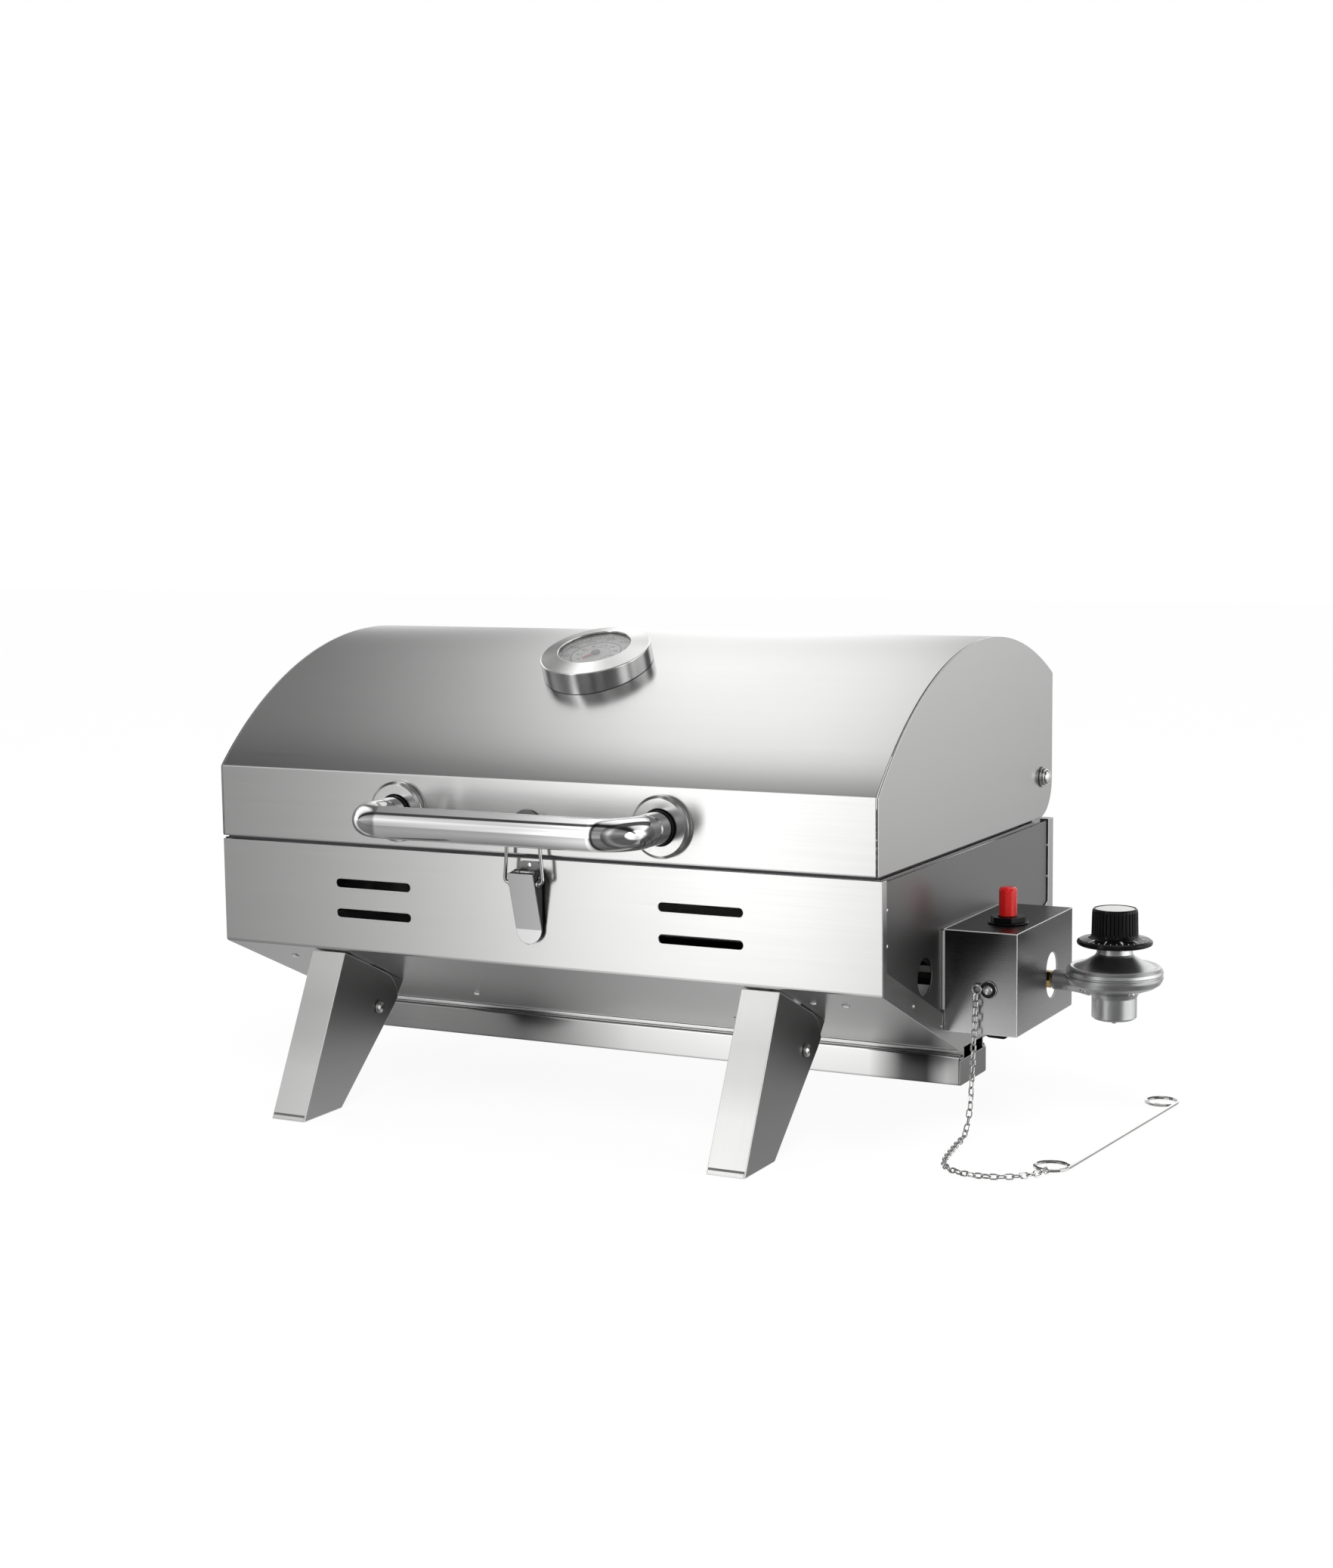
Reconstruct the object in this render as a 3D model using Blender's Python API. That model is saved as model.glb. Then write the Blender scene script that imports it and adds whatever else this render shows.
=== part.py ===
"""Portable tabletop gas grill with a hinged lid, folding legs and a cylinder regulator.

+X runs along the grill to the regulator's end, +Y to the back and +Z up, and the feet stand
on z = 0. Sizes are in millimetres, measured from the middle of the firebox in X and Y; the
mesh helpers turn them into metres, and the frame empty then moves the whole grill so that
the origin lies under the middle of its box, the loose chain and match holder left out.
"""

from math import asin, atan2, cos, pi, radians, sin, tan

import bmesh
import bpy
from mathutils import Matrix, Vector

MM = 0.001
GAP = 0.3            # between solids that touch on the real grill

# Firebox
HALF_LENGTH = 280.0
HALF_DEPTH = 183.2
RIM_HEIGHT = 204.9
KNEE_HEIGHT = 123.7  # where the upright walls turn into the slopes
FLOOR_HALF = 35.0
FLOOR_HEIGHT = 56.0
SHEET = 1.0
HEM = 12.0
SLOPE = atan2(KNEE_HEIGHT - FLOOR_HEIGHT, HALF_DEPTH - FLOOR_HALF)
PANEL_OUTER = HALF_LENGTH - SHEET - GAP
PANEL_INNER = PANEL_OUTER - SHEET
FRONT_FLANGE, SLOPE_FLANGE, REAR_FLANGE = 8.0, 18.0, 12.0
GREASE_SLOT_HALF = (262.0, 21.5)
VENT_START, VENT_END, VENT_HEIGHT = 106.1, 173.4, 6.5
VENT_LEVELS = (152.7, 176.0)
LIGHTING_HOLE = (-100.0, 123.6, 14.0)

# Lid
LID_HALF_LENGTH = 278.2
LID_FRONT, LID_REAR = -186.2, 184.6
LID_BOTTOM, LID_BAND_TOP = 207.7, 263.1
LID_REAR_BOTTOM = 249.0
ARCH_Y, ARCH_Z, ARCH_RADIUS = 38.15, 52.83, 307.5
LID_HEM = 8.0
LID_CORNER_RADIUS = 28.7
HINGE_Y, HINGE_Z = 159.4, 240.5

# Handle, thermometer and latch
HANDLE_X, HANDLE_Y, HANDLE_Z = 112.0, -245.0, 235.0
HANDLE_RADIUS, HANDLE_BEND = 12.0, 30.0
BEZEL_RADIUS, BEZEL_FRONT = 23.0, -192.3
DIAL_Y = -74.2
DIAL_TILT = asin((ARCH_Y - DIAL_Y) / ARCH_RADIUS)
DIAL_RADIUS = 33.4
LEVER_PIVOT = (-190.0, 192.0)
BAIL_PIVOT = (-192.8, 188.0)

# Gas side
BOX_X, BOX_Y, BOX_Z = (280.3, 336.3), (-65.6, 61.5), (77.0, 153.0)
BOX_WALL = 1.2
IGNITER_X, IGNITER_Y = 314.0, -22.5
GAS_Y, GAS_Z = 13.0, 106.0
REGULATOR_X = 384.7
ELECTRODE_Y, ELECTRODE_Z = -12.0, 118.0

# Legs and tray
LEG_X, LEG_WIDTH, LEG_WALL = 170.0, 30.0, 1.2
LEG_PIVOT_Y, LEG_PIVOT_Z = -134.5, 69.3
LEG_TOP, LEG_TOP_START = 28.2, -62.0
LEG_CORNER, LEG_HEEL = (24.0, 14.7), (21.5, 7.1)
FOOT_FRONT, FOOT_REAR = -239.0, -189.0
TRAY_HALF = 28.0
TRAY_LOW, TRAY_HIGH, TRAY_END_HIGH = 27.0, 49.5, 46.5

# Chain and match holder
CHAIN_RADIUS = 2.75
CHAIN_ROUTE = (
    (306.0, -70.0, 108.0), (306.0, -70.3, 98.0), (305.6, -70.8, 84.0), (305.2, -71.2, 70.0),
    (304.8, -71.6, 56.0), (304.3, -72.0, 42.0), (303.8, -72.8, 29.0), (303.2, -74.6, 17.0),
    (302.9, -79.6, 7.6), (303.0, -88.5, 3.7), (303.6, -99.0, 3.1), (305.4, -112.0, 3.0),
    (307.6, -126.0, 3.0), (310.2, -141.0, 3.0), (314.4, -154.5, 3.0), (322.5, -165.0, 3.0),
    (335.0, -171.0, 3.0), (349.0, -172.0, 3.0), (362.0, -168.0, 3.0), (374.0, -159.0, 3.0),
    (382.0, -148.5, 3.0), (384.6, -137.2, 3.0),
)
HOLDER_NEAR, HOLDER_FAR = (382.5, -122.6), (400.0, 89.0)
HOLDER_LOOP, HOLDER_WIRE = 12.0, 1.3

# The box of everything but the chain and match holder, whose middle is the origin.
HINGE_BOLT_END = 285.0
REGULATOR_RADIUS = 36.0
BOX_MIDDLE_X = (REGULATOR_X + REGULATOR_RADIUS - HINGE_BOLT_END) / 2
BOX_MIDDLE_Y = (HANDLE_Y - HANDLE_RADIUS - FOOT_FRONT) / 2

FINISHES = {                     # colour, roughness, metallic
    "stainless": ((0.62, 0.62, 0.61), 0.32, 1.0),
    "stainless_inner": ((0.52, 0.52, 0.51), 0.42, 1.0),
    "chrome": ((0.80, 0.80, 0.80), 0.08, 1.0),
    "bolt_steel": ((0.70, 0.70, 0.70), 0.20, 1.0),
    "grate_steel": ((0.60, 0.60, 0.58), 0.30, 1.0),
    "die_cast": ((0.50, 0.51, 0.51), 0.45, 1.0),
    "brass": ((0.78, 0.57, 0.26), 0.28, 1.0),
    "black_plastic": ((0.025, 0.025, 0.027), 0.40, 0.0),
    "red_plastic": ((0.72, 0.03, 0.02), 0.35, 0.0),
    "ceramic": ((0.82, 0.80, 0.74), 0.45, 0.0),
    "dial_white": ((0.80, 0.80, 0.78), 0.50, 0.0),
    "needle_red": ((0.70, 0.05, 0.03), 0.40, 0.0),
    "glass": ((0.90, 0.94, 0.95), 0.04, 0.0),
}


# ---------------------------------------------------------------- scene and object helpers

def clear_scene():
    for thing in list(bpy.data.objects):
        bpy.data.objects.remove(thing, do_unlink=True)


def make_materials():
    made = {}
    for name, (colour, roughness, metallic) in FINISHES.items():
        material = bpy.data.materials.new(name)
        material.use_nodes = True
        shader = material.node_tree.nodes["Principled BSDF"]
        shader.inputs["Base Color"].default_value = (*colour, 1.0)
        shader.inputs["Roughness"].default_value = roughness
        shader.inputs["Metallic"].default_value = metallic
        made[name] = material
    return made


def add_empty(name, pivot, parent=None, parent_pivot=(0.0, 0.0, 0.0)):
    """An empty at a pivot point, which carries the pieces that turn or slide with it."""
    empty = bpy.data.objects.new(name, None)
    bpy.context.collection.objects.link(empty)
    empty.location = (Vector(pivot) - Vector(parent_pivot)) * MM
    empty.parent = parent
    empty["pivot"] = tuple(pivot)
    return empty


def mesh_from(shape, name, body):
    """The shape's mesh in metres, measured from the body's pivot."""
    bmesh.ops.recalc_face_normals(shape, faces=shape.faces)
    bmesh.ops.translate(shape, verts=shape.verts, vec=-Vector(body["pivot"]))
    bmesh.ops.scale(shape, verts=shape.verts, vec=(MM, MM, MM))
    mesh = bpy.data.meshes.new(name)
    shape.to_mesh(mesh)
    shape.free()
    return mesh


def add_piece(name, shape, finish, body):
    mesh = mesh_from(shape, name, body)
    mesh.materials.append(MATERIALS[finish])
    mesh.shade_smooth()
    mesh.set_sharp_from_angle(angle=radians(35))
    piece = bpy.data.objects.new(name, mesh)
    bpy.context.collection.objects.link(piece)
    piece.parent = body
    return piece


def combine(piece, shape, operation, body):
    """A Boolean modifier on the piece, with the shape as its hidden second solid."""
    count = len(piece.modifiers)
    tool = bpy.data.objects.new(f"{piece.name}_tool_{count}", mesh_from(shape, "tool", body))
    bpy.context.collection.objects.link(tool)
    tool.parent = body
    tool.hide_render = True
    tool.display_type = "WIRE"
    modifier = piece.modifiers.new(f"{operation.lower()}_{count}", "BOOLEAN")
    modifier.operation = operation
    modifier.object = tool


def cut(piece, shape, body):
    combine(piece, shape, "DIFFERENCE", body)


def weld(piece, shape, body):
    combine(piece, shape, "UNION", body)


# ---------------------------------------------------------------- shape helpers

def prism(outline, low, high, axis="X"):
    """A straight solid: the outline lies across the axis, in the other two, in XYZ order."""
    lay = {"X": lambda a, b, h: (h, a, b), "Y": lambda a, b, h: (a, h, b),
           "Z": lambda a, b, h: (a, b, h)}[axis]
    shape = bmesh.new()
    near = [shape.verts.new(lay(a, b, low)) for a, b in outline]
    far = [shape.verts.new(lay(a, b, high)) for a, b in outline]
    shape.faces.new(near)
    shape.faces.new(far)
    for i in range(len(outline)):
        j = (i + 1) % len(outline)
        shape.faces.new((near[i], near[j], far[j], far[i]))
    return shape


def box(x, y, z):
    return prism([(y[0], z[0]), (y[1], z[0]), (y[1], z[1]), (y[0], z[1])], x[0], x[1])


def turned(profile, centre, axis, sides):
    """A round solid: the closed (radius, height) profile turned about an axis."""
    turn = Vector((0, 0, 1)).rotation_difference(Vector(axis))
    shape = bmesh.new()
    rings = []
    for radius, height in profile:
        count = sides if radius > 0 else 1
        angles = [2 * pi * k / sides for k in range(count)]
        points = [Vector((radius * cos(a), radius * sin(a), height)) for a in angles]
        rings.append([shape.verts.new(Vector(centre) + turn @ p) for p in points])
    for ring, following in zip(rings, rings[1:] + rings[:1]):
        for k in range(sides if max(len(ring), len(following)) > 1 else 0):
            j = (k + 1) % sides
            corners = (ring[k % len(ring)], ring[j % len(ring)],
                       following[j % len(following)], following[k % len(following)])
            shape.faces.new(list(dict.fromkeys(corners)))
    return shape


def rod(radius, start, end, sides=12):
    length = (Vector(end) - Vector(start)).length
    axis = (Vector(end) - Vector(start)).normalized()
    profile = [(0, 0), (radius, 0), (radius, length), (0, length)]
    return turned(profile, start, axis, sides)


def swept(path, radius, sides):
    """A round bar with flat ends whose centre follows the path."""
    points = [Vector(p) for p in path]
    ways = [(b - a).normalized() for a, b in zip(points, points[1:])]
    ways = [ways[0]] + [(a + b).normalized() for a, b in zip(ways, ways[1:])] + [ways[-1]]
    side = ways[0].orthogonal().normalized()
    shape = bmesh.new()
    rings = []
    for i, (point, way) in enumerate(zip(points, ways)):
        if i:
            side = ways[i - 1].rotation_difference(way) @ side
        other = way.cross(side)
        angles = [2 * pi * k / sides for k in range(sides)]
        rings.append([shape.verts.new(point + (side * cos(a) + other * sin(a)) * radius)
                      for a in angles])
    for ring, following in zip(rings, rings[1:]):
        for k in range(sides):
            j = (k + 1) % sides
            shape.faces.new((ring[k], ring[j], following[j], following[k]))
    shape.faces.new(rings[0])
    shape.faces.new(rings[-1])
    return shape


def rounded(corners, radius, steps):
    """The path through the corners with each inner corner turned into an arc."""
    points = [Vector(c) for c in corners]
    path = [points[0]]
    for before, corner, after in zip(points, points[1:], points[2:]):
        way_in = (corner - before).normalized()
        way_out = (after - corner).normalized()
        angle = way_in.angle(way_out)
        start = corner - way_in * radius * tan(angle / 2)
        inward = (way_out - way_in * cos(angle)) / sin(angle)
        centre = start + inward * radius
        for k in range(steps + 1):
            a = angle * k / steps
            path.append(centre + (way_in * sin(a) - inward * cos(a)) * radius)
    return path + [points[-1]]


def arc(centre, radius, start, end, steps):
    """Points on a circle from one angle to another, in degrees."""
    angles = [radians(start + (end - start) * k / steps) for k in range(steps + 1)]
    return [(centre[0] + radius * cos(a), centre[1] + radius * sin(a)) for a in angles]


def offset_path(path, distance, closed=False):
    """The path moved to its left by a distance, with mitred corners."""
    points = [Vector(p) for p in path]
    last = len(points) - 1
    moved = []
    for i, point in enumerate(points):
        before = points[i - 1] if i or closed else None
        after = points[(i + 1) % len(points)] if i < last or closed else None
        ways = [(b - a).normalized() for a, b in ((before, point), (point, after))
                if a is not None and b is not None]
        normals = [Vector((-way.y, way.x)) for way in ways]
        mitre = sum(normals, Vector((0, 0))).normalized()
        moved.append(tuple(point + mitre * distance / mitre.dot(normals[0])))
    return moved


def sheet(path, thickness=SHEET):
    """The outline of a bent sheet whose outer face follows the path."""
    return list(path) + offset_path(path, thickness)[::-1]


def together(shapes):
    """One mesh that holds several separate solids, for one Boolean cut."""
    whole = bmesh.new()
    for shape in shapes:
        part = bpy.data.meshes.new("part")
        shape.to_mesh(part)
        shape.free()
        whole.from_mesh(part)
        bpy.data.meshes.remove(part)
    return whole


def slot_outline(start, end, middle, height, steps=5):
    """A slot with round ends, which runs along the first axis."""
    radius = height / 2
    return (arc((end - radius, middle), radius, -90, 90, steps)
            + arc((start + radius, middle), radius, 90, 270, steps))


# ---------------------------------------------------------------- firebox

def firebox_outline(rim=RIM_HEIGHT):
    """The firebox's end view, anticlockwise from the front rim."""
    return [(-HALF_DEPTH, rim), (-HALF_DEPTH, KNEE_HEIGHT), (-FLOOR_HALF, FLOOR_HEIGHT),
            (FLOOR_HALF, FLOOR_HEIGHT), (HALF_DEPTH, KNEE_HEIGHT), (HALF_DEPTH, rim)]


def firebox_window():
    """The opening that the end flanges leave, open at the top."""
    front, rear = -HALF_DEPTH + FRONT_FLANGE, HALF_DEPTH - REAR_FLANGE
    lift = SLOPE_FLANGE / cos(SLOPE)

    def slope_height(y):
        return KNEE_HEIGHT - (HALF_DEPTH - abs(y)) * tan(SLOPE) + lift

    low = FLOOR_HEIGHT + SLOPE_FLANGE
    floor_y = FLOOR_HALF + (low - FLOOR_HEIGHT - lift) / tan(SLOPE)
    return [(front, RIM_HEIGHT + HEM), (front, slope_height(front)), (-floor_y, low),
            (floor_y, low), (rear, slope_height(rear)), (rear, RIM_HEIGHT + HEM)]


def make_firebox_shell(body):
    """Front, slopes, floor and back in one wrapped sheet, flanged over the end panels."""
    shell = add_piece("firebox_shell", prism(firebox_outline(), -HALF_LENGTH, HALF_LENGTH),
                      "stainless", body)
    inside = offset_path(firebox_outline(), SHEET, closed=True)
    reach = HALF_LENGTH - SHEET
    cut(shell, prism(inside, -reach, reach), body)
    cut(shell, prism(firebox_window(), -HALF_LENGTH - HEM, HALF_LENGTH + HEM), body)
    mouth_y = HALF_DEPTH - HEM
    slot_x, slot_y = GREASE_SLOT_HALF
    openings = [box((-reach, reach), (-mouth_y, mouth_y), (RIM_HEIGHT - HEM, RIM_HEIGHT + HEM)),
                box((-slot_x, slot_x), (-slot_y, slot_y), (FLOOR_HEIGHT - HEM, FLOOR_HEIGHT + HEM))]
    for level in VENT_LEVELS:
        for start, end in ((VENT_START, VENT_END), (-VENT_END, -VENT_START)):
            outline = slot_outline(start, end, level, VENT_HEIGHT)
            openings.append(prism(outline, -HALF_DEPTH - HEM, -HALF_DEPTH + HEM, "Y"))
    cut(shell, together(openings), body)


def make_end_panels(body):
    outline = offset_path(firebox_outline(RIM_HEIGHT - GAP), SHEET + GAP, closed=True)
    for side, name in ((-1, "left"), (1, "right")):
        faces = sorted((side * PANEL_INNER, side * PANEL_OUTER))
        panel = add_piece(f"end_panel_{name}", prism(outline, *faces), "stainless", body)
        if side > 0:
            y, z, radius = LIGHTING_HOLE
            ends = (PANEL_INNER - 2, PANEL_OUTER + 2)
            holes = [rod(radius, (ends[0], y, z), (ends[1], y, z), 24),
                     rod(13.3, (ends[0], GAS_Y, GAS_Z), (ends[1], GAS_Y, GAS_Z), 20),
                     rod(4.2, (ends[0], ELECTRODE_Y, ELECTRODE_Z),
                         (ends[1], ELECTRODE_Y, ELECTRODE_Z), 10)]
            cut(panel, together(holes), body)


def make_hinge_brackets(body):
    """Upright ears on the end panels, which hold the hinge bolts inside the lid."""
    neck = [(-20, -90), (0, -90), (0, -22)]
    head = arc((0, 0), 11.0, -40, 190, 10)
    outline = [(HINGE_Y + y, HINGE_Z + z) for y, z in neck + head + [(-20, -32)]]
    for side, name in ((-1, "left"), (1, "right")):
        faces = sorted((side * 275.0, side * 276.7))
        ear = add_piece(f"hinge_bracket_{name}", prism(outline, *faces), "stainless_inner", body)
        pad = sorted((side * 275.5, side * (PANEL_INNER - GAP)))
        weld(ear, box(pad, (HINGE_Y - 19.5, HINGE_Y - 0.5), (HINGE_Z - 89.5, 203.0)), body)
        cut(ear, rod(4.3, (side * 270, HINGE_Y, HINGE_Z), (side * 280, HINGE_Y, HINGE_Z), 12), body)


def make_hinge_bolts(body):
    nut, ear, plate, washer = 270.0, 275.0 - GAP, LID_HALF_LENGTH + GAP, 280.0
    profile = [(0, nut), (6.5, nut), (6.5, ear), (4.0, ear), (4.0, plate), (8.5, plate),
               (8.5, washer), (6.5, washer), (6.5, HINGE_BOLT_END - 1),
               (5.5, HINGE_BOLT_END), (0, HINGE_BOLT_END)]
    for side, name in ((-1, "left"), (1, "right")):
        bolt = turned(profile, (0, HINGE_Y, HINGE_Z), (side, 0, 0), 12)
        add_piece(f"hinge_bolt_{name}", bolt, "bolt_steel", body)


# ---------------------------------------------------------------- inside the firebox

def make_grate(body):
    """The cooking grate lies on two ledges just under the rim."""
    half_x, half_y, low, thick = 268.0, 177.0, 185.5, 5.0
    grate = add_piece("cooking_grate", box((-half_x, half_x), (-half_y, half_y), (low, low + thick)),
                      "grate_steel", body)
    pitch, bar, rim, count = 17.6, 5.0, 6.0, 30
    gaps = []
    for k in range(count):
        middle = (k - (count - 1) / 2) * pitch
        reach = (pitch - bar) / 2
        for y in ((-half_y + rim, -3.0), (3.0, half_y - rim)):
            gaps.append(box((middle - reach, middle + reach), y, (low - 2, low + thick + 2)))
    cut(grate, together(gaps), body)
    for side, name in ((-1, "front"), (1, "rear")):
        wall = side * (HALF_DEPTH - SHEET - GAP)
        path = [(wall, 197.0), (wall, 184.0), (wall - side * 14.0, 184.0)]
        outline = sheet(path if side < 0 else path[::-1], 1.2)
        ledge = prism(outline, -262.0, 262.0)
        add_piece(f"grate_ledge_{name}", ledge, "stainless_inner", body)


def make_flame_tamer(body):
    """A bent plate over the burner, which lies on a ledge at each end."""
    path = [(106, 133.5), (86, 133.5), (13, 162), (-60, 133.5), (-80, 133.5)]
    add_piece("flame_tamer", prism(sheet(path[::-1]), -272.0, 272.0), "stainless_inner", body)
    for side, name in ((-1, "left"), (1, "right")):
        wall = side * (PANEL_INNER - GAP)
        path = [(wall, 122.0), (wall, 133.2), (wall - side * 13.0, 133.2)]
        outline = sheet(path if side > 0 else path[::-1], 1.2)
        ledge = prism(outline, -80.0, 106.0, "Y")
        add_piece(f"tamer_ledge_{name}", ledge, "stainless_inner", body)


def make_burner(body):
    """A straight tube burner whose mixing end reaches out to the gas nozzle."""
    left, right, outer, inner = -215.0, 292.0, 12.5, 11.4
    profile = [(0, left), (outer, left), (outer, right), (4.3, right), (4.3, right - 1.2),
               (inner, right - 1.2), (inner, left + 1.2), (0, left + 1.2)]
    tube = add_piece("burner_tube", turned(profile, (0, GAS_Y, GAS_Z), (1, 0, 0), 16),
                     "stainless_inner", body)
    air = box((281.5, 288.5), (GAS_Y - 8, GAS_Y + 8), (GAS_Z - 20, GAS_Z + 20))
    cut(tube, air, body)
    wall, under = -PANEL_INNER + GAP, GAS_Z - outer - GAP
    outline = sheet([(-205.0, under), (wall, under), (wall, under - 30)], 1.2)
    bracket = prism(outline, GAS_Y - 14, GAS_Y + 14, "Y")
    add_piece("burner_bracket", bracket, "stainless_inner", body)


# ---------------------------------------------------------------- lid

def lid_outline():
    """The lid's end view from the front foot over the arch to the rear panel's foot."""
    start = atan2(LID_BAND_TOP - ARCH_Z, LID_FRONT - ARCH_Y)
    end = atan2((ARCH_RADIUS ** 2 - (LID_REAR - ARCH_Y) ** 2) ** 0.5, LID_REAR - ARCH_Y)
    arch = arc((ARCH_Y, ARCH_Z), ARCH_RADIUS, start * 180 / pi, end * 180 / pi, 24)
    return [(LID_FRONT, LID_BOTTOM)] + arch + [(LID_REAR, LID_REAR_BOTTOM)]


def make_lid_shell(body):
    path = [(LID_FRONT + LID_HEM, LID_BOTTOM)] + lid_outline()
    shell = add_piece("lid_shell", prism(sheet(path, -SHEET), -LID_HALF_LENGTH, LID_HALF_LENGTH),
                      "stainless", body)
    holes = [rod(4.2, (side * HANDLE_X, LID_FRONT - 5, HANDLE_Z),
                 (side * HANDLE_X, LID_FRONT + 5, HANDLE_Z), 12) for side in (-1, 1)]
    holes.append(rod(4.2, dial_point(0, 0, -6), dial_point(0, 0, 6), 12))
    cut(shell, together(holes), body)


def make_lid_ends(body):
    inner = offset_path(lid_outline(), -SHEET - GAP)
    rear = inner[-1][0]
    bottom = LID_BOTTOM + SHEET + GAP
    centre = (rear - LID_CORNER_RADIUS, bottom + LID_CORNER_RADIUS)
    outline = [(inner[0][0], bottom)] + inner[1:-1] + arc(centre, LID_CORNER_RADIUS, 0, -90, 8)
    for side, name in ((-1, "left"), (1, "right")):
        faces = sorted((side * (LID_HALF_LENGTH - 1.2), side * LID_HALF_LENGTH))
        plate = add_piece(f"lid_end_{name}", prism(outline, *faces), "stainless", body)
        cut(plate, rod(4.4, (side * 270, HINGE_Y, HINGE_Z), (side * 285, HINGE_Y, HINGE_Z), 12), body)


def make_handle(body):
    root_y = BEZEL_FRONT - GAP
    corners = [(-HANDLE_X, root_y, HANDLE_Z), (-HANDLE_X, HANDLE_Y, HANDLE_Z),
               (HANDLE_X, HANDLE_Y, HANDLE_Z), (HANDLE_X, root_y, HANDLE_Z)]
    bar = swept(rounded(corners, HANDLE_BEND, 7), HANDLE_RADIUS, 16)
    add_piece("lid_handle", bar, "chrome", body)
    back = LID_FRONT - GAP
    bezel = [(4.0, back), (BEZEL_RADIUS, back), (BEZEL_RADIUS, BEZEL_FRONT + 1.5),
             (BEZEL_RADIUS - 2, BEZEL_FRONT), (4.0, BEZEL_FRONT)]
    inside = LID_FRONT + SHEET + GAP
    screw = [(0, inside + 3.5), (6.5, inside + 3.5), (6.5, inside), (3.4, inside),
             (3.4, BEZEL_FRONT), (0, BEZEL_FRONT)]
    for side, name in ((-1, "left"), (1, "right")):
        centre = (side * HANDLE_X, 0, HANDLE_Z)
        for label, profile, finish, sides in (("handle_bezel", bezel, "stainless", 24),
                                              ("handle_screw", screw, "bolt_steel", 10)):
            flipped = [(radius, -y) for radius, y in profile]
            piece = turned(flipped, centre, (0, -1, 0), sides)
            add_piece(f"{label}_{name}", piece, finish, body)


def dial_point(across, up, height):
    """A point by the thermometer's dial: across is +X, up is up the lid, height is off it."""
    arch_z = ARCH_Z + ARCH_RADIUS * cos(DIAL_TILT)
    return Vector((across, DIAL_Y + up * cos(DIAL_TILT) - height * sin(DIAL_TILT),
                   arch_z + up * sin(DIAL_TILT) + height * cos(DIAL_TILT)))


def on_dial(shape):
    """Moves a shape made about the vertical axis onto the thermometer's axis."""
    turn = Matrix.Rotation(DIAL_TILT, 4, "X")
    bmesh.ops.transform(shape, matrix=Matrix.Translation(dial_point(0, 0, 0)) @ turn,
                        verts=shape.verts)
    return shape


def make_thermometer(body, needle_body):
    def round_piece(name, profile, finish, sides):
        shape = on_dial(turned(profile, (0, 0, 0), (0, 0, 1), sides))
        return add_piece(name, shape, finish, body)

    housing = round_piece("thermometer_housing", [
        (4.8, 0.8), (41.5, 0.8), (41.5, -5.0), (43, -5.0), (43, 14.2), (28.4, 17.4), (28.4, 15.9),
        (34.2, 15.9), (34.2, 8.7), (31.5, 8.7), (31.5, 3.2), (4.8, 3.2)], "stainless", 32)
    cut(housing, lid_under_dial(), body)
    round_piece("thermometer_dial", [(1.9, 9.0), (DIAL_RADIUS, 9.0), (DIAL_RADIUS, 10.2),
                                     (1.9, 10.2)], "dial_white", 32)
    round_piece("thermometer_glass", [(0, 13.9), (DIAL_RADIUS, 13.9), (DIAL_RADIUS, 15.5),
                                      (0, 15.5)], "glass", 32)
    round_piece("thermometer_stem", [(0, -62), (2.4, -62), (3, -58), (3, -7.5), (9, -7.5),
                                     (9, -1.8), (3.4, -1.8), (3.4, 2.6), (0, 2.6)],
                "bolt_steel", 12)
    needle = add_piece("thermometer_needle", on_dial(needle_blade()), "needle_red", needle_body)
    pin = turned([(0, 3.6), (1.3, 3.6), (1.3, 11.4), (0, 11.4)], (0, 0, 0), (0, 0, 1), 10)
    weld(needle, on_dial(pin), needle_body)


def lid_under_dial():
    """The lid's round top with a little room over it, which shapes the housing's foot."""
    middle = 90 + DIAL_TILT * 180 / pi
    crown = arc((ARCH_Y, ARCH_Z), ARCH_RADIUS + 0.4, middle + 10, middle - 10, 12)
    base = arc((ARCH_Y, ARCH_Z), ARCH_RADIUS - 15, middle - 10, middle + 10, 2)
    return prism(crown + base, -60.0, 60.0)


def needle_blade():
    """The pointer, a flat blade that tapers from a round hub to its tip."""
    length, tail, heading = 22.0, 7.0, radians(240)
    outline = [(-tail, -1.2), (-2.5, -1.6), (0, -3.2), (2.5, -1.6), (length, -0.4),
               (length, 0.4), (2.5, 1.6), (0, 3.2), (-2.5, 1.6), (-tail, 1.2)]
    turned_outline = [(x * cos(heading) - y * sin(heading), x * sin(heading) + y * cos(heading))
                      for x, y in outline]
    return prism(turned_outline, 11.0, 12.0, "Z")


# ---------------------------------------------------------------- latch

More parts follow.
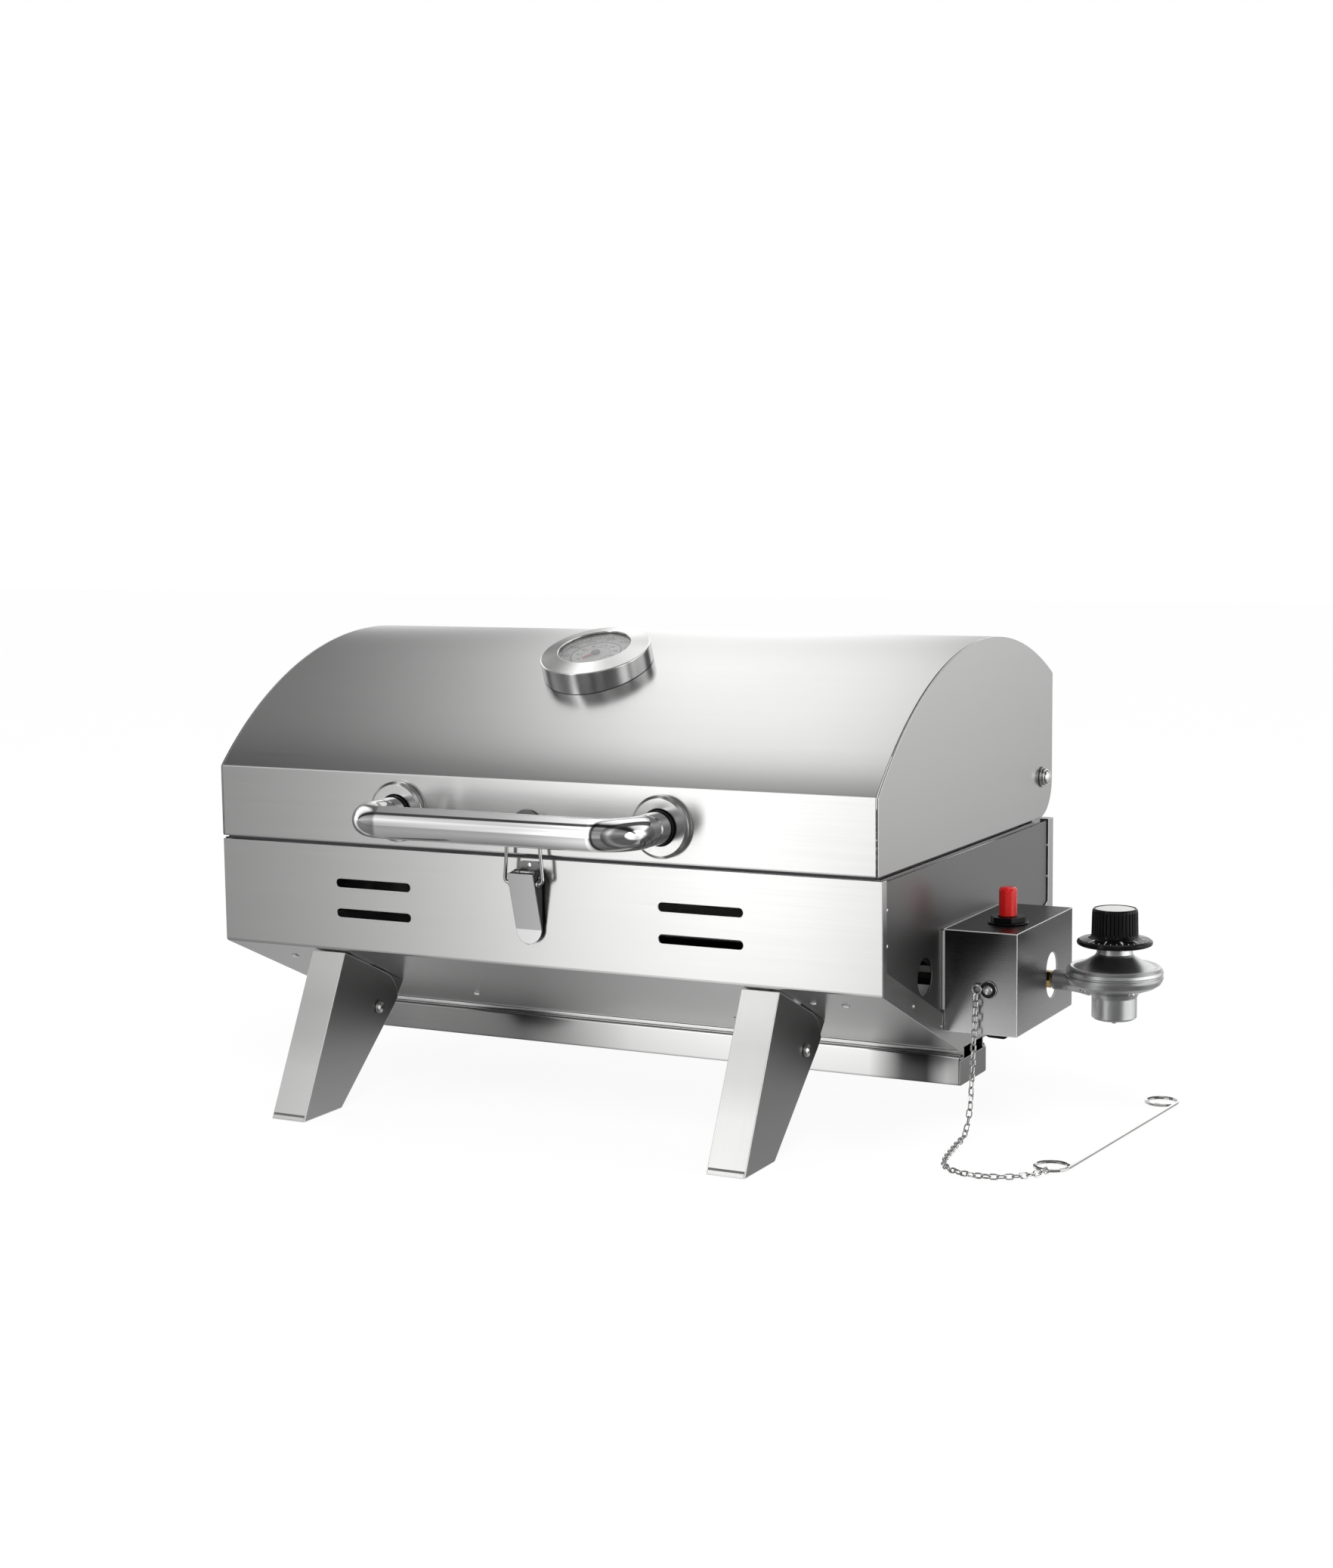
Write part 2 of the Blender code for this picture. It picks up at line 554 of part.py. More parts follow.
def make_latch(frame_body, lid_body, lever_body, bail_body):
    wall = -HALF_DEPTH - GAP
    pivot_y, pivot_z = LEVER_PIVOT
    base = add_piece("latch_base", box((-9.1, 9.1), (wall - 1.2, wall), (148.0, 200.0)),
                     "stainless", frame_body)
    ear = [(wall - 0.6, 184), (-190.5, 188.9), (-193.1, 191), (-193.1, 193), (-191, 195),
           (-188.5, 195), (wall - 0.6, 195)]
    weld(base, together([prism(ear, 7.9, 9.1), prism(ear, -9.1, -7.9)]), frame_body)
    pin = rod(1.5, (-12.0, pivot_y, pivot_z), (12.0, pivot_y, pivot_z), 10)
    weld(base, pin, frame_body)

    path = [(-187.4, 141.0), (-187.0, 152.5), (-198.9, 195.4)]
    lever = add_piece("latch_lever", prism(sheet(path, -1.2), -11.0, 11.0), "stainless", lever_body)
    cheek = [(-186.9, 154.0), (-185.9, 172.0), (-186.6, 195.0), (-189.0, 196.5), (-198.4, 195.2)]
    weld(lever, together([prism(cheek, 9.8, 11.0), prism(cheek, -11.0, -9.8)]), lever_body)
    holes = [rod(1.9, (-16, y, z), (16, y, z), 10) for y, z in (LEVER_PIVOT, BAIL_PIVOT)]
    cut(lever, together(holes), lever_body)
    cut(lever, lever_tip_trim(), lever_body)

    low_y, low_z = BAIL_PIVOT
    corners = [(9.5, low_y, low_z), (16.2, low_y, low_z), (12.4, -193.5, 236.0),
               (-12.4, -193.5, 236.0), (-16.2, low_y, low_z), (-9.5, low_y, low_z)]
    bail = swept(rounded(corners, 3.2, 4), 1.35, 8)
    add_piece("latch_bail", bail, "bolt_steel", bail_body)

    back = LID_FRONT - GAP
    plate = [(-13, 222), (13, 222), (13, 229)] + arc((0, 229), 13, 0, 180, 8)[1:-1] + [(-13, 229)]
    keeper = add_piece("latch_keeper", prism(plate, back - 1.4, back, "Y"), "stainless", lid_body)
    hook = sheet([(back - 0.7, 229.5), (back - 4.0, 231.0), (back - 4.2, 238.0)], 1.2)
    weld(keeper, prism(hook, -8.0, 8.0), lid_body)


def lever_tip_trim():
    """What is cut off the lever's lower end to round it, as two corner pieces."""
    centre, radius, low = 152.5, 11.0, 138.0
    curve = arc((0, centre), radius, -90, 0, 6)
    right = curve + [(14.5, centre), (14.5, low), (0, low)]
    left = [(-x, z) for x, z in right]
    return together([prism(right, -200.0, -180.0, "Y"), prism(left, -200.0, -180.0, "Y")])


# ---------------------------------------------------------------- legs and tray

def on_slope(along, out):
    """A point by the front leg's pivot: along the slope to the middle, and out to it."""
    return (LEG_PIVOT_Y + along * cos(SLOPE) + out * sin(SLOPE),
            LEG_PIVOT_Z - along * sin(SLOPE) + out * cos(SLOPE))


def mirrored(outline, side):
    """The front outline for side -1, and its mirror image at the back for side 1."""
    return outline if side < 0 else [(-y, z) for y, z in reversed(outline)]


def leg_outline():
    """The leg's cheek, whose top corner is an arc about the pivot, to clear the slope."""
    corner_angle = atan2(LEG_CORNER[1], LEG_CORNER[0]) * 180 / pi
    top = arc((0, 0), LEG_TOP, 90, corner_angle, 8)
    rim = [(LEG_TOP_START, LEG_TOP)] + top + [LEG_HEEL]
    return [on_slope(*p) for p in rim] + [(FOOT_REAR, 0.0), (FOOT_FRONT, 0.0)]


def make_leg(name, x, side, body):
    outline = leg_outline()
    leg = add_piece(name, prism(mirrored(outline, side), x, x + LEG_WIDTH), "stainless", body)
    (foot_y, foot_z), (top_y, top_z) = outline[-1], outline[0]
    web = Vector((top_y - foot_y, top_z - foot_z)).normalized()
    inward = Vector((web.y, -web.x)) * LEG_WALL
    foot = Vector((foot_y, foot_z)) + inward
    sole = foot + web * (LEG_WALL / web.y)
    crown = foot + web * 180
    hollow = [tuple(sole), (-60.0, LEG_WALL), (-60.0, crown.y), tuple(crown)]
    cut(leg, prism(mirrored(hollow, side), x + LEG_WALL, x + LEG_WIDTH - LEG_WALL), body)
    pivot_y = LEG_PIVOT_Y * -side
    hole = rod(3.4, (x - 3, pivot_y, LEG_PIVOT_Z), (x + LEG_WIDTH + 3, pivot_y, LEG_PIVOT_Z), 10)
    cut(leg, hole, body)


def make_leg_bracket(name, x, side, body):
    """A U-shaped bracket inside the leg, whose ears carry the pivot bolt."""
    plane = (HALF_DEPTH + LEG_PIVOT_Y) * -sin(SLOPE) + (KNEE_HEIGHT - LEG_PIVOT_Z) * cos(SLOPE)
    seat = plane - GAP
    rim = [(-16, seat), (28.4, seat), (21.6, 7.6), (9, -6.5), (0, -9.5), (-8, -6), (-10.5, 0)]
    outline = [on_slope(*p) for p in rim]
    low, high = x + LEG_WALL + GAP, x + LEG_WIDTH - LEG_WALL - GAP
    bracket = add_piece(name, prism(mirrored(outline, side), low, high), "stainless_inner", body)
    hollow = [on_slope(*p) for p in ((-40, seat - 1.2), (40, seat - 1.2), (40, -40), (-40, -40))]
    cut(bracket, prism(mirrored(hollow, side), low + 1.5, high - 1.5), body)
    pivot_y = LEG_PIVOT_Y * -side
    hole = rod(3.3, (low - 3, pivot_y, LEG_PIVOT_Z), (high + 3, pivot_y, LEG_PIVOT_Z), 10)
    cut(bracket, hole, body)


def make_leg_bolt(name, x, side, body):
    near, far = x - GAP, x + LEG_WIDTH + GAP
    profile = [(0, near - 3.2), (5.0, near - 3.2), (5.0, near), (3.0, near), (3.0, far),
               (4.6, far), (4.4, far + 1.8), (3.0, far + 2.9), (0, far + 3.2)]
    bolt = turned(profile, (0, LEG_PIVOT_Y * -side, LEG_PIVOT_Z), (1, 0, 0), 12)
    add_piece(name, bolt, "bolt_steel", body)


def make_rails(body):
    """Two bent rails under the floor, on whose lips the grease tray hangs and slides."""
    path = [(-34.0, 55.4), (-20.0, 55.4), (-20.0, 47.0), (-26.5, 47.0)]
    outline = sheet(path, -1.2)
    for side, name in ((-1, "front"), (1, "rear")):
        rail = prism(mirrored(outline, side), -279.0, 279.0)
        add_piece(f"tray_rail_{name}", rail, "stainless_inner", body)


def make_tray(body):
    outer, inner = TRAY_HALF, TRAY_HALF - SHEET
    lip = TRAY_HALF - 5.5
    section = [(-lip, TRAY_HIGH), (-outer, TRAY_HIGH), (-outer, TRAY_LOW), (outer, TRAY_LOW),
               (outer, TRAY_HIGH), (lip, TRAY_HIGH)]
    tray = add_piece("grease_tray", prism(sheet(section), -279.0, 279.0), "stainless", body)
    for x in ((-279.0, -278.0), (278.0, 279.0)):
        weld(tray, box(x, (-inner - 0.5, inner + 0.5), (TRAY_LOW + 0.5, TRAY_END_HIGH)), body)


# ---------------------------------------------------------------- gas side

def make_valve_box(body):
    """A folded cover on the right end, open behind and below."""
    cover = add_piece("valve_box", box(BOX_X, BOX_Y, BOX_Z), "stainless", body)
    inner_x, inner_z = BOX_X[1] - BOX_WALL, BOX_Z[1] - BOX_WALL
    cut(cover, box((BOX_X[0] + BOX_WALL, inner_x), (BOX_Y[0] + BOX_WALL, BOX_Y[1] + 5),
                   (BOX_Z[0] - 5, inner_z)), body)
    flange = 12.0
    window = box((BOX_X[0] - 1, BOX_X[0] + 3), (BOX_Y[0] + flange, BOX_Y[1] + 4),
                 (BOX_Z[0] - 4, BOX_Z[1] - flange))
    oval = [(13.2 + y, z) for y, z in
            arc((0, 113.8), 12.5, 0, 180, 10) + arc((0, 104.8), 12.5, 180, 360, 10)]
    holes = [window, prism(oval, BOX_X[1] - 5, BOX_X[1] + 5),
             rod(7.8, (IGNITER_X, IGNITER_Y, BOX_Z[1] - 5), (IGNITER_X, IGNITER_Y, BOX_Z[1] + 5), 16),
             rod(2.9, (314.5, BOX_Y[0] - 5, 110.6), (314.5, BOX_Y[0] + 5, 110.6), 10)]
    cut(cover, together(holes), body)


def make_igniter(body, button_body):
    top = BOX_Z[1] + GAP
    centre = (IGNITER_X, IGNITER_Y, 0)
    shell = [(0, 73), (5.5, 73), (5.5, 80), (7.2, 82), (7.2, top + 4.8), (6.4, top + 4.8),
             (6.4, 139), (0, 139)]
    add_piece("igniter_body", turned(shell, centre, (0, 0, 1), 16), "black_plastic", body)
    outline = [(IGNITER_X + x, IGNITER_Y + y) for x, y in arc((0, 0), 15.0, 0, 300, 5)]
    nut = add_piece("igniter_nut", prism(outline, top, top + 5.0, "Z"), "black_plastic", body)
    bore = rod(7.5, (IGNITER_X, IGNITER_Y, top - 3), (IGNITER_X, IGNITER_Y, top + 9), 16)
    cut(nut, bore, body)
    button = [(0, 148.5), (6.0, 148.5), (6.0, 178.0), (5.2, 179.4), (0, 179.6)]
    add_piece("igniter_button", turned(button, centre, (0, 0, 1), 16), "red_plastic", button_body)

    seat = PANEL_OUTER + GAP
    tip = [(0, 286), (3.5, 286), (3.5, seat + 2), (6, seat + 2), (6, seat), (3.5, seat),
           (3.5, 246), (1.2, 244), (1.2, 228), (0, 228)]
    add_piece("igniter_electrode", turned(tip, (0, ELECTRODE_Y, ELECTRODE_Z), (1, 0, 0), 10),
              "ceramic", body)
    corners = [(IGNITER_X, IGNITER_Y, 73 - GAP), (IGNITER_X, IGNITER_Y, 66), (296, -20, 66),
               (292, -13, 100), (292, ELECTRODE_Y, ELECTRODE_Z), (286 + GAP, ELECTRODE_Y, ELECTRODE_Z)]
    wire = swept(rounded(corners, 4.0, 4), 1.3, 6)
    add_piece("igniter_wire", wire, "black_plastic", body)


def make_regulator(body, knob_body):
    centre = (REGULATOR_X, GAS_Y, 0)
    profile = [(0, 99), (12.8, 99), (12.8, 80.3), (16.65, 80.3), (16.65, 98), (19, 101),
               (30, 105.2), (34.2, 108), (REGULATOR_RADIUS, 112.2), (REGULATOR_RADIUS, 116),
               (34.7, 118.6), (32.2, 120.2), (22, 123.9), (13.6, 129), (12.5, 136.6),
               (4.6, 136.6), (4.6, 121), (0, 121)]
    regulator = add_piece("regulator_body", turned(profile, centre, (0, 0, 1), 28), "die_cast", body)
    weld(regulator, rod(7.0, (345.2, GAS_Y, GAS_Z), (370, GAS_Y, GAS_Z), 12), body)
    pin = rod(2.0, (REGULATOR_X, GAS_Y, 76.7), (REGULATOR_X, GAS_Y, 105), 8)
    weld(regulator, pin, body)
    fitting = [(0, 287), (3.0, 287), (3.6, 289), (3.6, 327), (6.0, 328), (6.0, 337.5), (7.6, 338),
               (7.6, 344.2), (6.0, 344.9), (0, 344.9)]
    add_piece("gas_fitting", turned(fitting, (0, GAS_Y, GAS_Z), (1, 0, 0), 12), "brass", body)
    knob = [(0, 122.5), (4.2, 122.5), (4.2, 137.2), (15.2, 137.2), (15.2, 135.7), (26.2, 135.7),
            (28, 136.9), (28, 139.4), (20, 141.8), (17.3, 143.4), (16.8, 161.8), (15.4, 163.3),
            (0, 163.3)]
    add_piece("regulator_knob", turned(knob, centre, (0, 0, 1), 24), "black_plastic", knob_body)


# ---------------------------------------------------------------- chain and match holder

def make_chain_screw(body):
    wall = BOX_Y[0]
    profile = [(0, wall + 8), (2.4, wall + 8), (2.4, wall - GAP), (5.5, wall - GAP),
               (5.5, wall - 1.2), (4.2, wall - 3.0), (0, wall - 3.4)]
    flipped = [(radius, -y) for radius, y in profile]
    add_piece("chain_screw", turned(flipped, (314.5, 0, 110.6), (0, -1, 0), 12), "bolt_steel", body)


def smooth_route(points, spacing):
    """Evenly spaced points on a Catmull-Rom curve through the route's points."""
    knots = [Vector(p) for p in points]
    knots = [2 * knots[0] - knots[1]] + knots + [2 * knots[-1] - knots[-2]]
    fine, steps = [], 12
    for a, b, c, d in zip(knots, knots[1:], knots[2:], knots[3:]):
        for k in range(steps):
            t = k / steps
            fine.append(0.5 * (2 * b + (c - a) * t + (2 * a - 5 * b + 4 * c - d) * t ** 2
                               + (3 * b - a - 3 * c + d) * t ** 3))
    fine.append(knots[-2])
    length = sum((b - a).length for a, b in zip(fine, fine[1:]))
    count = round(length / spacing)
    picked, walked = [fine[0]], 0.0
    for a, b in zip(fine, fine[1:]):
        walked += (b - a).length
        if walked >= len(picked) * length / count and len(picked) < count:
            picked.append(b)
    return picked + [fine[-1]]


def make_chain(body):
    """The plain stand-in for the chain: a round cord along its route."""
    route = smooth_route(CHAIN_ROUTE, 12.0)
    curve = bpy.data.curves.new("match_chain", "CURVE")
    curve.dimensions = "3D"
    curve.bevel_depth = CHAIN_RADIUS * MM
    curve.bevel_resolution = 2
    curve.use_fill_caps = True
    spline = curve.splines.new("POLY")
    spline.points.add(len(route) - 1)
    for place, point in zip(spline.points, route):
        place.co = (*((point - Vector(body["pivot"])) * MM), 1.0)
    curve.materials.append(MATERIALS["bolt_steel"])
    chain = bpy.data.objects.new("match_chain", curve)
    bpy.context.collection.objects.link(chain)
    chain.parent = body


def make_match_holder(body):
    """A wire with a loop at each end, lying on the ground at the end of the chain."""
    heading = atan2(HOLDER_FAR[1] - HOLDER_NEAR[1], HOLDER_FAR[0] - HOLDER_NEAR[0]) - pi / 2
    turn = heading * 180 / pi
    near = arc(HOLDER_NEAR, HOLDER_LOOP, turn - 325, turn, 16)
    far = arc(HOLDER_FAR, HOLDER_LOOP, turn, turn + 325, 16)
    path = [(x, y, HOLDER_WIRE + 0.2) for x, y in near + far]
    add_piece("match_holder", swept(path, HOLDER_WIRE, 6), "bolt_steel", body)


# ---------------------------------------------------------------- the whole grill

def build():
    frame = add_empty("grill_frame", (0, 0, 0))
    frame.location = (-BOX_MIDDLE_X * MM, -BOX_MIDDLE_Y * MM, 0)

    def moving(name, pivot, parent=frame):
        return add_empty(name, pivot, parent, parent["pivot"])

    make_firebox_shell(frame)
    make_end_panels(frame)
    make_hinge_brackets(frame)
    make_hinge_bolts(frame)
    make_grate(frame)
    make_flame_tamer(frame)
    make_burner(frame)
    make_rails(frame)
    make_valve_box(frame)
    make_chain_screw(frame)
    make_chain(frame)
    make_match_holder(frame)

    lid = moving("lid_axis", (0, HINGE_Y, HINGE_Z))
    make_lid_shell(lid)
    make_lid_ends(lid)
    make_handle(lid)
    make_thermometer(lid, moving("needle_axis", dial_point(0, 0, 0), lid))

    lever = moving("lever_axis", (0, *LEVER_PIVOT))
    make_latch(frame, lid, lever, moving("bail_axis", (0, *BAIL_PIVOT), lever))

    make_tray(moving("tray_slide", (0, 0, TRAY_LOW)))
    make_igniter(frame, moving("button_slide", (IGNITER_X, IGNITER_Y, BOX_Z[1])))
    make_regulator(frame, moving("knob_axis", (REGULATOR_X, GAS_Y, 137.0)))

    for side, depth in ((-1, "front"), (1, "rear")):
        for x, end in ((-LEG_X - LEG_WIDTH, "left"), (LEG_X, "right")):
            label = f"{depth}_{end}"
            make_leg_bracket(f"leg_bracket_{label}", x, side, frame)
            make_leg_bolt(f"leg_bolt_{label}", x, side, frame)
            pivot = moving(f"leg_axis_{label}", (x, LEG_PIVOT_Y * -side, LEG_PIVOT_Z))
            make_leg(f"leg_{label}", x, side, pivot)


clear_scene()
MATERIALS = make_materials()
build()
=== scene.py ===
"""The looks of a portable tabletop gas grill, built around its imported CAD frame.

Sizes are in millimetres. X and Y are measured from the middle of the firebox and Z from the
ground, as in the CAD part; add_piece() turns them into metres in the frame's own axes.
"""

from math import asin, atan2, cos, degrees, pi, radians, sin, tan

import bmesh
import bpy
from mathutils import Matrix, Vector


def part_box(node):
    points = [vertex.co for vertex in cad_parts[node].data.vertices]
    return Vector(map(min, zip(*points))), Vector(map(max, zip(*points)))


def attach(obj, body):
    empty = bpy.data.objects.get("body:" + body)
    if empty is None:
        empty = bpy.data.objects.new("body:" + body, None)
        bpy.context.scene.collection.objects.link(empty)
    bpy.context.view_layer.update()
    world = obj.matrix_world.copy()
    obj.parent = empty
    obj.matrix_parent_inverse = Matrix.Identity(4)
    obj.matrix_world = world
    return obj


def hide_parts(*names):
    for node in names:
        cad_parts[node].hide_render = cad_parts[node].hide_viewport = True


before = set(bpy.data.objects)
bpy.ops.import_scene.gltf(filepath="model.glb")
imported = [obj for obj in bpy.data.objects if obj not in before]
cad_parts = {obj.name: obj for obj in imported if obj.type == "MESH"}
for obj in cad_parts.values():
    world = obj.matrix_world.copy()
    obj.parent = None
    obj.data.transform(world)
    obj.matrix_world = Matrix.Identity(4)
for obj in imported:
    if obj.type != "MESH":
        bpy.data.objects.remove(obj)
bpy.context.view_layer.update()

MM = 0.001
LOW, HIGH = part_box("firebox_shell")
CENTRE = Vector(((LOW.x + HIGH.x) / 2, (LOW.y + HIGH.y) / 2, 0.0))
SIDES = ((-1, "left"), (1, "right"))
UP = (0, 0, 1)
GAP = 0.3
WELD, FLAT_ANGLE = 0.005, radians(0.3)      # what a Boolean's result is cleaned up to
SHARP_ANGLE = radians(42)                   # smooth shading breaks at sharper edges

# Firebox
HALF_LENGTH, HALF_DEPTH, RIM_HEIGHT = 280.0, 183.2, 204.9
KNEE_HEIGHT, FLOOR_HALF, FLOOR_HEIGHT = 123.7, 35.0, 56.0
SHEET, HEM = 1.0, 12.0
SLOPE = atan2(KNEE_HEIGHT - FLOOR_HEIGHT, HALF_DEPTH - FLOOR_HALF)
PANEL_OUTER = HALF_LENGTH - SHEET - GAP
PANEL_INNER = PANEL_OUTER - SHEET
FRONT_FLANGE, SLOPE_FLANGE, REAR_FLANGE = 8.0, 18.0, 12.0
GREASE_SLOT_HALF = (262.0, 21.5)
VENT_START, VENT_END, VENT_HEIGHT = 106.1, 173.4, 6.5
VENT_LEVELS = (152.7, 176.0)
LIGHTING_HOLE = (-100.0, 123.6, 14.0)
ELECTRODE_Y, ELECTRODE_Z = -12.0, 118.0

# Lid
LID_HALF, LID_END = 278.2, 1.3
LID_GAP = 0.5        # the dark seam between the lid's shell and its ends
LID_FRONT, LID_REAR, LID_BOTTOM = -186.2, 184.6, 207.7
BAND_TOP, REAR_BOTTOM = 263.1, 249.0
ARCH_Y, ARCH_Z, ARCH_RADIUS = 38.15, 52.83, 307.5
LID_CORNER_RADIUS = 28.7
HINGE_Y, HINGE_Z, HINGE_BOLT_END = 159.4, 240.5, 285.0

# Handle, thermometer and latch
HANDLE_X, HANDLE_Y, HANDLE_Z = 112.0, -245.0, 235.0
HANDLE_RADIUS, HANDLE_BEND = 12.0, 30.0
BEZEL_RADIUS, BEZEL_FRONT = 23.0, -192.3
DIAL_Y = -74.2
DIAL_TILT = asin((ARCH_Y - DIAL_Y) / ARCH_RADIUS)
DIAL_RADIUS, DIAL_HEIGHT, NEEDLE_HEADING = 33.4, 10.2, 240
DIAL_START, DIAL_SWEEP = 225.0, 270.0
LEVER_PIVOT, BAIL_PIVOT, SPRING_PIN = (-190.0, 192.0), (-192.8, 188.0), (-190.2, 195.5)
LEVER_HALF, LEVER_FOLD = 11.0, 152.5

# Gas side
BOX_X, BOX_Y, BOX_Z = (280.3, 336.3), (-65.6, 61.5), (77.0, 153.0)
BOX_WALL = 1.2
IGNITER_X, IGNITER_Y = 314.0, -22.5
GAS_Y, GAS_Z, REGULATOR_X, REGULATOR_RADIUS = 13.0, 106.0, 384.7, 36.0
SCREW_X, SCREW_Z = 314.5, 110.6

# Legs and tray
LEG_X, LEG_WIDTH, LEG_WALL = 170.0, 30.0, 1.2
LEG_PIVOT_Y, LEG_PIVOT_Z = -134.5, 69.3
LEG_TOP, LEG_TOP_START = 28.2, -62.0
LEG_CORNER, LEG_HEEL = (24.0, 14.7), (21.5, 7.1)
FOOT_FRONT, FOOT_REAR = -239.0, -189.0
TRAY_HALF, TRAY_LOW, TRAY_HIGH, TRAY_END_HIGH = 28.0, 27.0, 49.5, 46.5

# Chain and match holder
CHAIN_ROUTE = (
    (306.0, -70.0, 108.0), (306.0, -70.3, 98.0), (305.6, -70.8, 84.0), (305.2, -71.2, 70.0),
    (304.8, -71.6, 56.0), (304.3, -72.0, 42.0), (303.8, -72.8, 29.0), (303.2, -74.6, 17.0),
    (302.9, -79.6, 7.6), (303.0, -88.5, 3.7), (303.6, -99.0, 3.1), (305.4, -112.0, 3.0),
    (307.6, -126.0, 3.0), (310.2, -141.0, 3.0), (314.4, -154.5, 3.0), (322.5, -165.0, 3.0),
    (335.0, -171.0, 3.0), (349.0, -172.0, 3.0), (362.0, -168.0, 3.0), (374.0, -159.0, 3.0),
    (382.0, -148.5, 3.0), (384.6, -137.2, 3.0),
)
CHAIN_DIAMETER, LINK_PITCH = 5.5, 5.4
LINK_LENGTH, LINK_WIDTH, LINK_WIRE = 7.5, 5.0, 0.6


# ---------------------------------------------------------------- shapes

def arc(centre, radius, start, end, steps):
    """Points on a circle from one angle to another, in degrees."""
    angles = [radians(start + (end - start) * k / steps) for k in range(steps + 1)]
    return [(centre[0] + radius * cos(a), centre[1] + radius * sin(a)) for a in angles]


def dome(radius, base, height, step, end=90):
    """A round head's profile from its edge towards its crown, as (radius, height) points."""
    angles = [radians(a) for a in range(0, end, step)]
    return [(radius * cos(a), base + height * sin(a)) for a in angles]


def soften(points, radius, steps=5, closed=True, least=14):
    """The path with each corner sharper than `least` degrees turned into an arc."""
    points = [Vector(p) for p in points]
    count = len(points)
    radii = [radius] * count if isinstance(radius, (int, float)) else radius
    path = []
    for i, corner in enumerate(points):
        before, after = points[i - 1], points[(i + 1) % count]
        at_end = not closed and i in (0, count - 1)
        way_in, way_out = (corner - before).normalized(), (after - corner).normalized()
        angle = 0.0 if at_end else way_in.angle(way_out)
        if degrees(angle) < least or radii[i] == 0:
            path.append(tuple(corner))
            continue
        reach = min(radii[i] * tan(angle / 2), (corner - before).length * 0.48,
                    (after - corner).length * 0.48)
        bend = reach / tan(angle / 2)
        inward = (way_out - way_in * cos(angle)) / sin(angle)
        centre = corner - way_in * reach + inward * bend
        for k in range(steps + 1):
            a = angle * k / steps
            path.append(tuple(centre + (way_in * sin(a) - inward * cos(a)) * bend))
    return path


def offset_path(path, distance, closed=False):
    """The path moved to its left by a distance, with mitred corners."""
    points = [Vector(p) for p in path]
    last = len(points) - 1
    moved_path = []
    for i, point in enumerate(points):
        before = points[i - 1] if i or closed else None
        after = points[(i + 1) % len(points)] if i < last or closed else None
        ways = [(b - a).normalized() for a, b in ((before, point), (point, after))
                if a is not None and b is not None]
        normals = [Vector((-way.y, way.x)) for way in ways]
        mitre = sum(normals, Vector((0, 0))).normalized()
        moved_path.append(tuple(point + mitre * distance / mitre.dot(normals[0])))
    return moved_path


def strip(path, thickness=SHEET):
    """The outline of a bent sheet whose outer face follows the path."""
    return list(path) + offset_path(path, thickness)[::-1]


def loft(rings, closed=False):
    """A skin over rings of equally many points, capped unless it closes on itself."""
    shape = bmesh.new()
    made = [[shape.verts.new(p) for p in ring] for ring in rings]
    pairs = list(zip(made, made[1:])) + ([(made[-1], made[0])] if closed else [])
    for ring, following in pairs:
        for k in range(len(ring)):
            j = (k + 1) % len(ring)
            shape.faces.new((ring[k], ring[j], following[j], following[k]))
    if not closed:
        shape.faces.new(made[0])
        shape.faces.new(made[-1])
    return shape


def prism(outline, low, high, axis="X"):
    """A straight solid: the outline lies across the axis, in the other two, in XYZ order."""
    lay = {"X": lambda a, b, h: (h, a, b), "Y": lambda a, b, h: (a, h, b),
           "Z": lambda a, b, h: (a, b, h)}[axis]
    return loft([[lay(a, b, h) for a, b in outline] for h in (low, high)])


def box(x, y, z):
    return prism([(y[0], z[0]), (y[1], z[0]), (y[1], z[1]), (y[0], z[1])], x[0], x[1])


def turned(profile, centre=(0, 0, 0), axis=UP, sides=64, soft=0.0, steps=3):
    """A round solid: the closed (radius, height) profile turned about an axis."""
    if soft:
        profile = soften(profile, [0 if r == 0 else soft for r, _ in profile], steps)
    turn_up = Vector(UP).rotation_difference(Vector(axis))
    shape = bmesh.new()
    rings = []
    for radius, height in profile:
        angles = [2 * pi * k / sides for k in range(sides if radius > 0 else 1)]
        points = [Vector((radius * cos(a), radius * sin(a), height)) for a in angles]
        rings.append([shape.verts.new(Vector(centre) + turn_up @ p) for p in points])
    for ring, following in zip(rings, rings[1:] + rings[:1]):
        for k in range(sides if max(len(ring), len(following)) > 1 else 0):
            j = (k + 1) % sides
            corners = (ring[k % len(ring)], ring[j % len(ring)],
                       following[j % len(following)], following[k % len(following)])
            shape.faces.new(list(dict.fromkeys(corners)))
    return shape


def collar(inner, outer, low, high, *place, **finish):
    """A plain ring, or a disc where the inner radius is 0."""
    return turned([(inner, low), (outer, low), (outer, high), (inner, high)], *place, **finish)


def rod(radius, start, end, sides=32, soft=0.0):
    way = Vector(end) - Vector(start)
    profile = [(0, 0), (radius, 0), (radius, way.length), (0, way.length)]
    return turned(profile, start, way, sides, soft)


def swept(path, radius, sides=16, closed=False):
    """A round bar whose centre follows the path, without a twist."""
    points = [Vector(p) for p in path]
    count = len(points)
    ways = []
    for i in range(count):
        before = points[i - 1] if i or closed else points[0]
        after = points[(i + 1) % count] if i < count - 1 or closed else points[-1]
        ways.append((after - before).normalized())
    side = ways[0].orthogonal().normalized()
    rings = []
    for i, (point, way) in enumerate(zip(points, ways)):
        if i:
            side = ways[i - 1].rotation_difference(way) @ side
        other = way.cross(side)
        angles = [2 * pi * k / sides for k in range(sides)]
        rings.append([point + (side * cos(a) + other * sin(a)) * radius for a in angles])
    return loft(rings, closed)


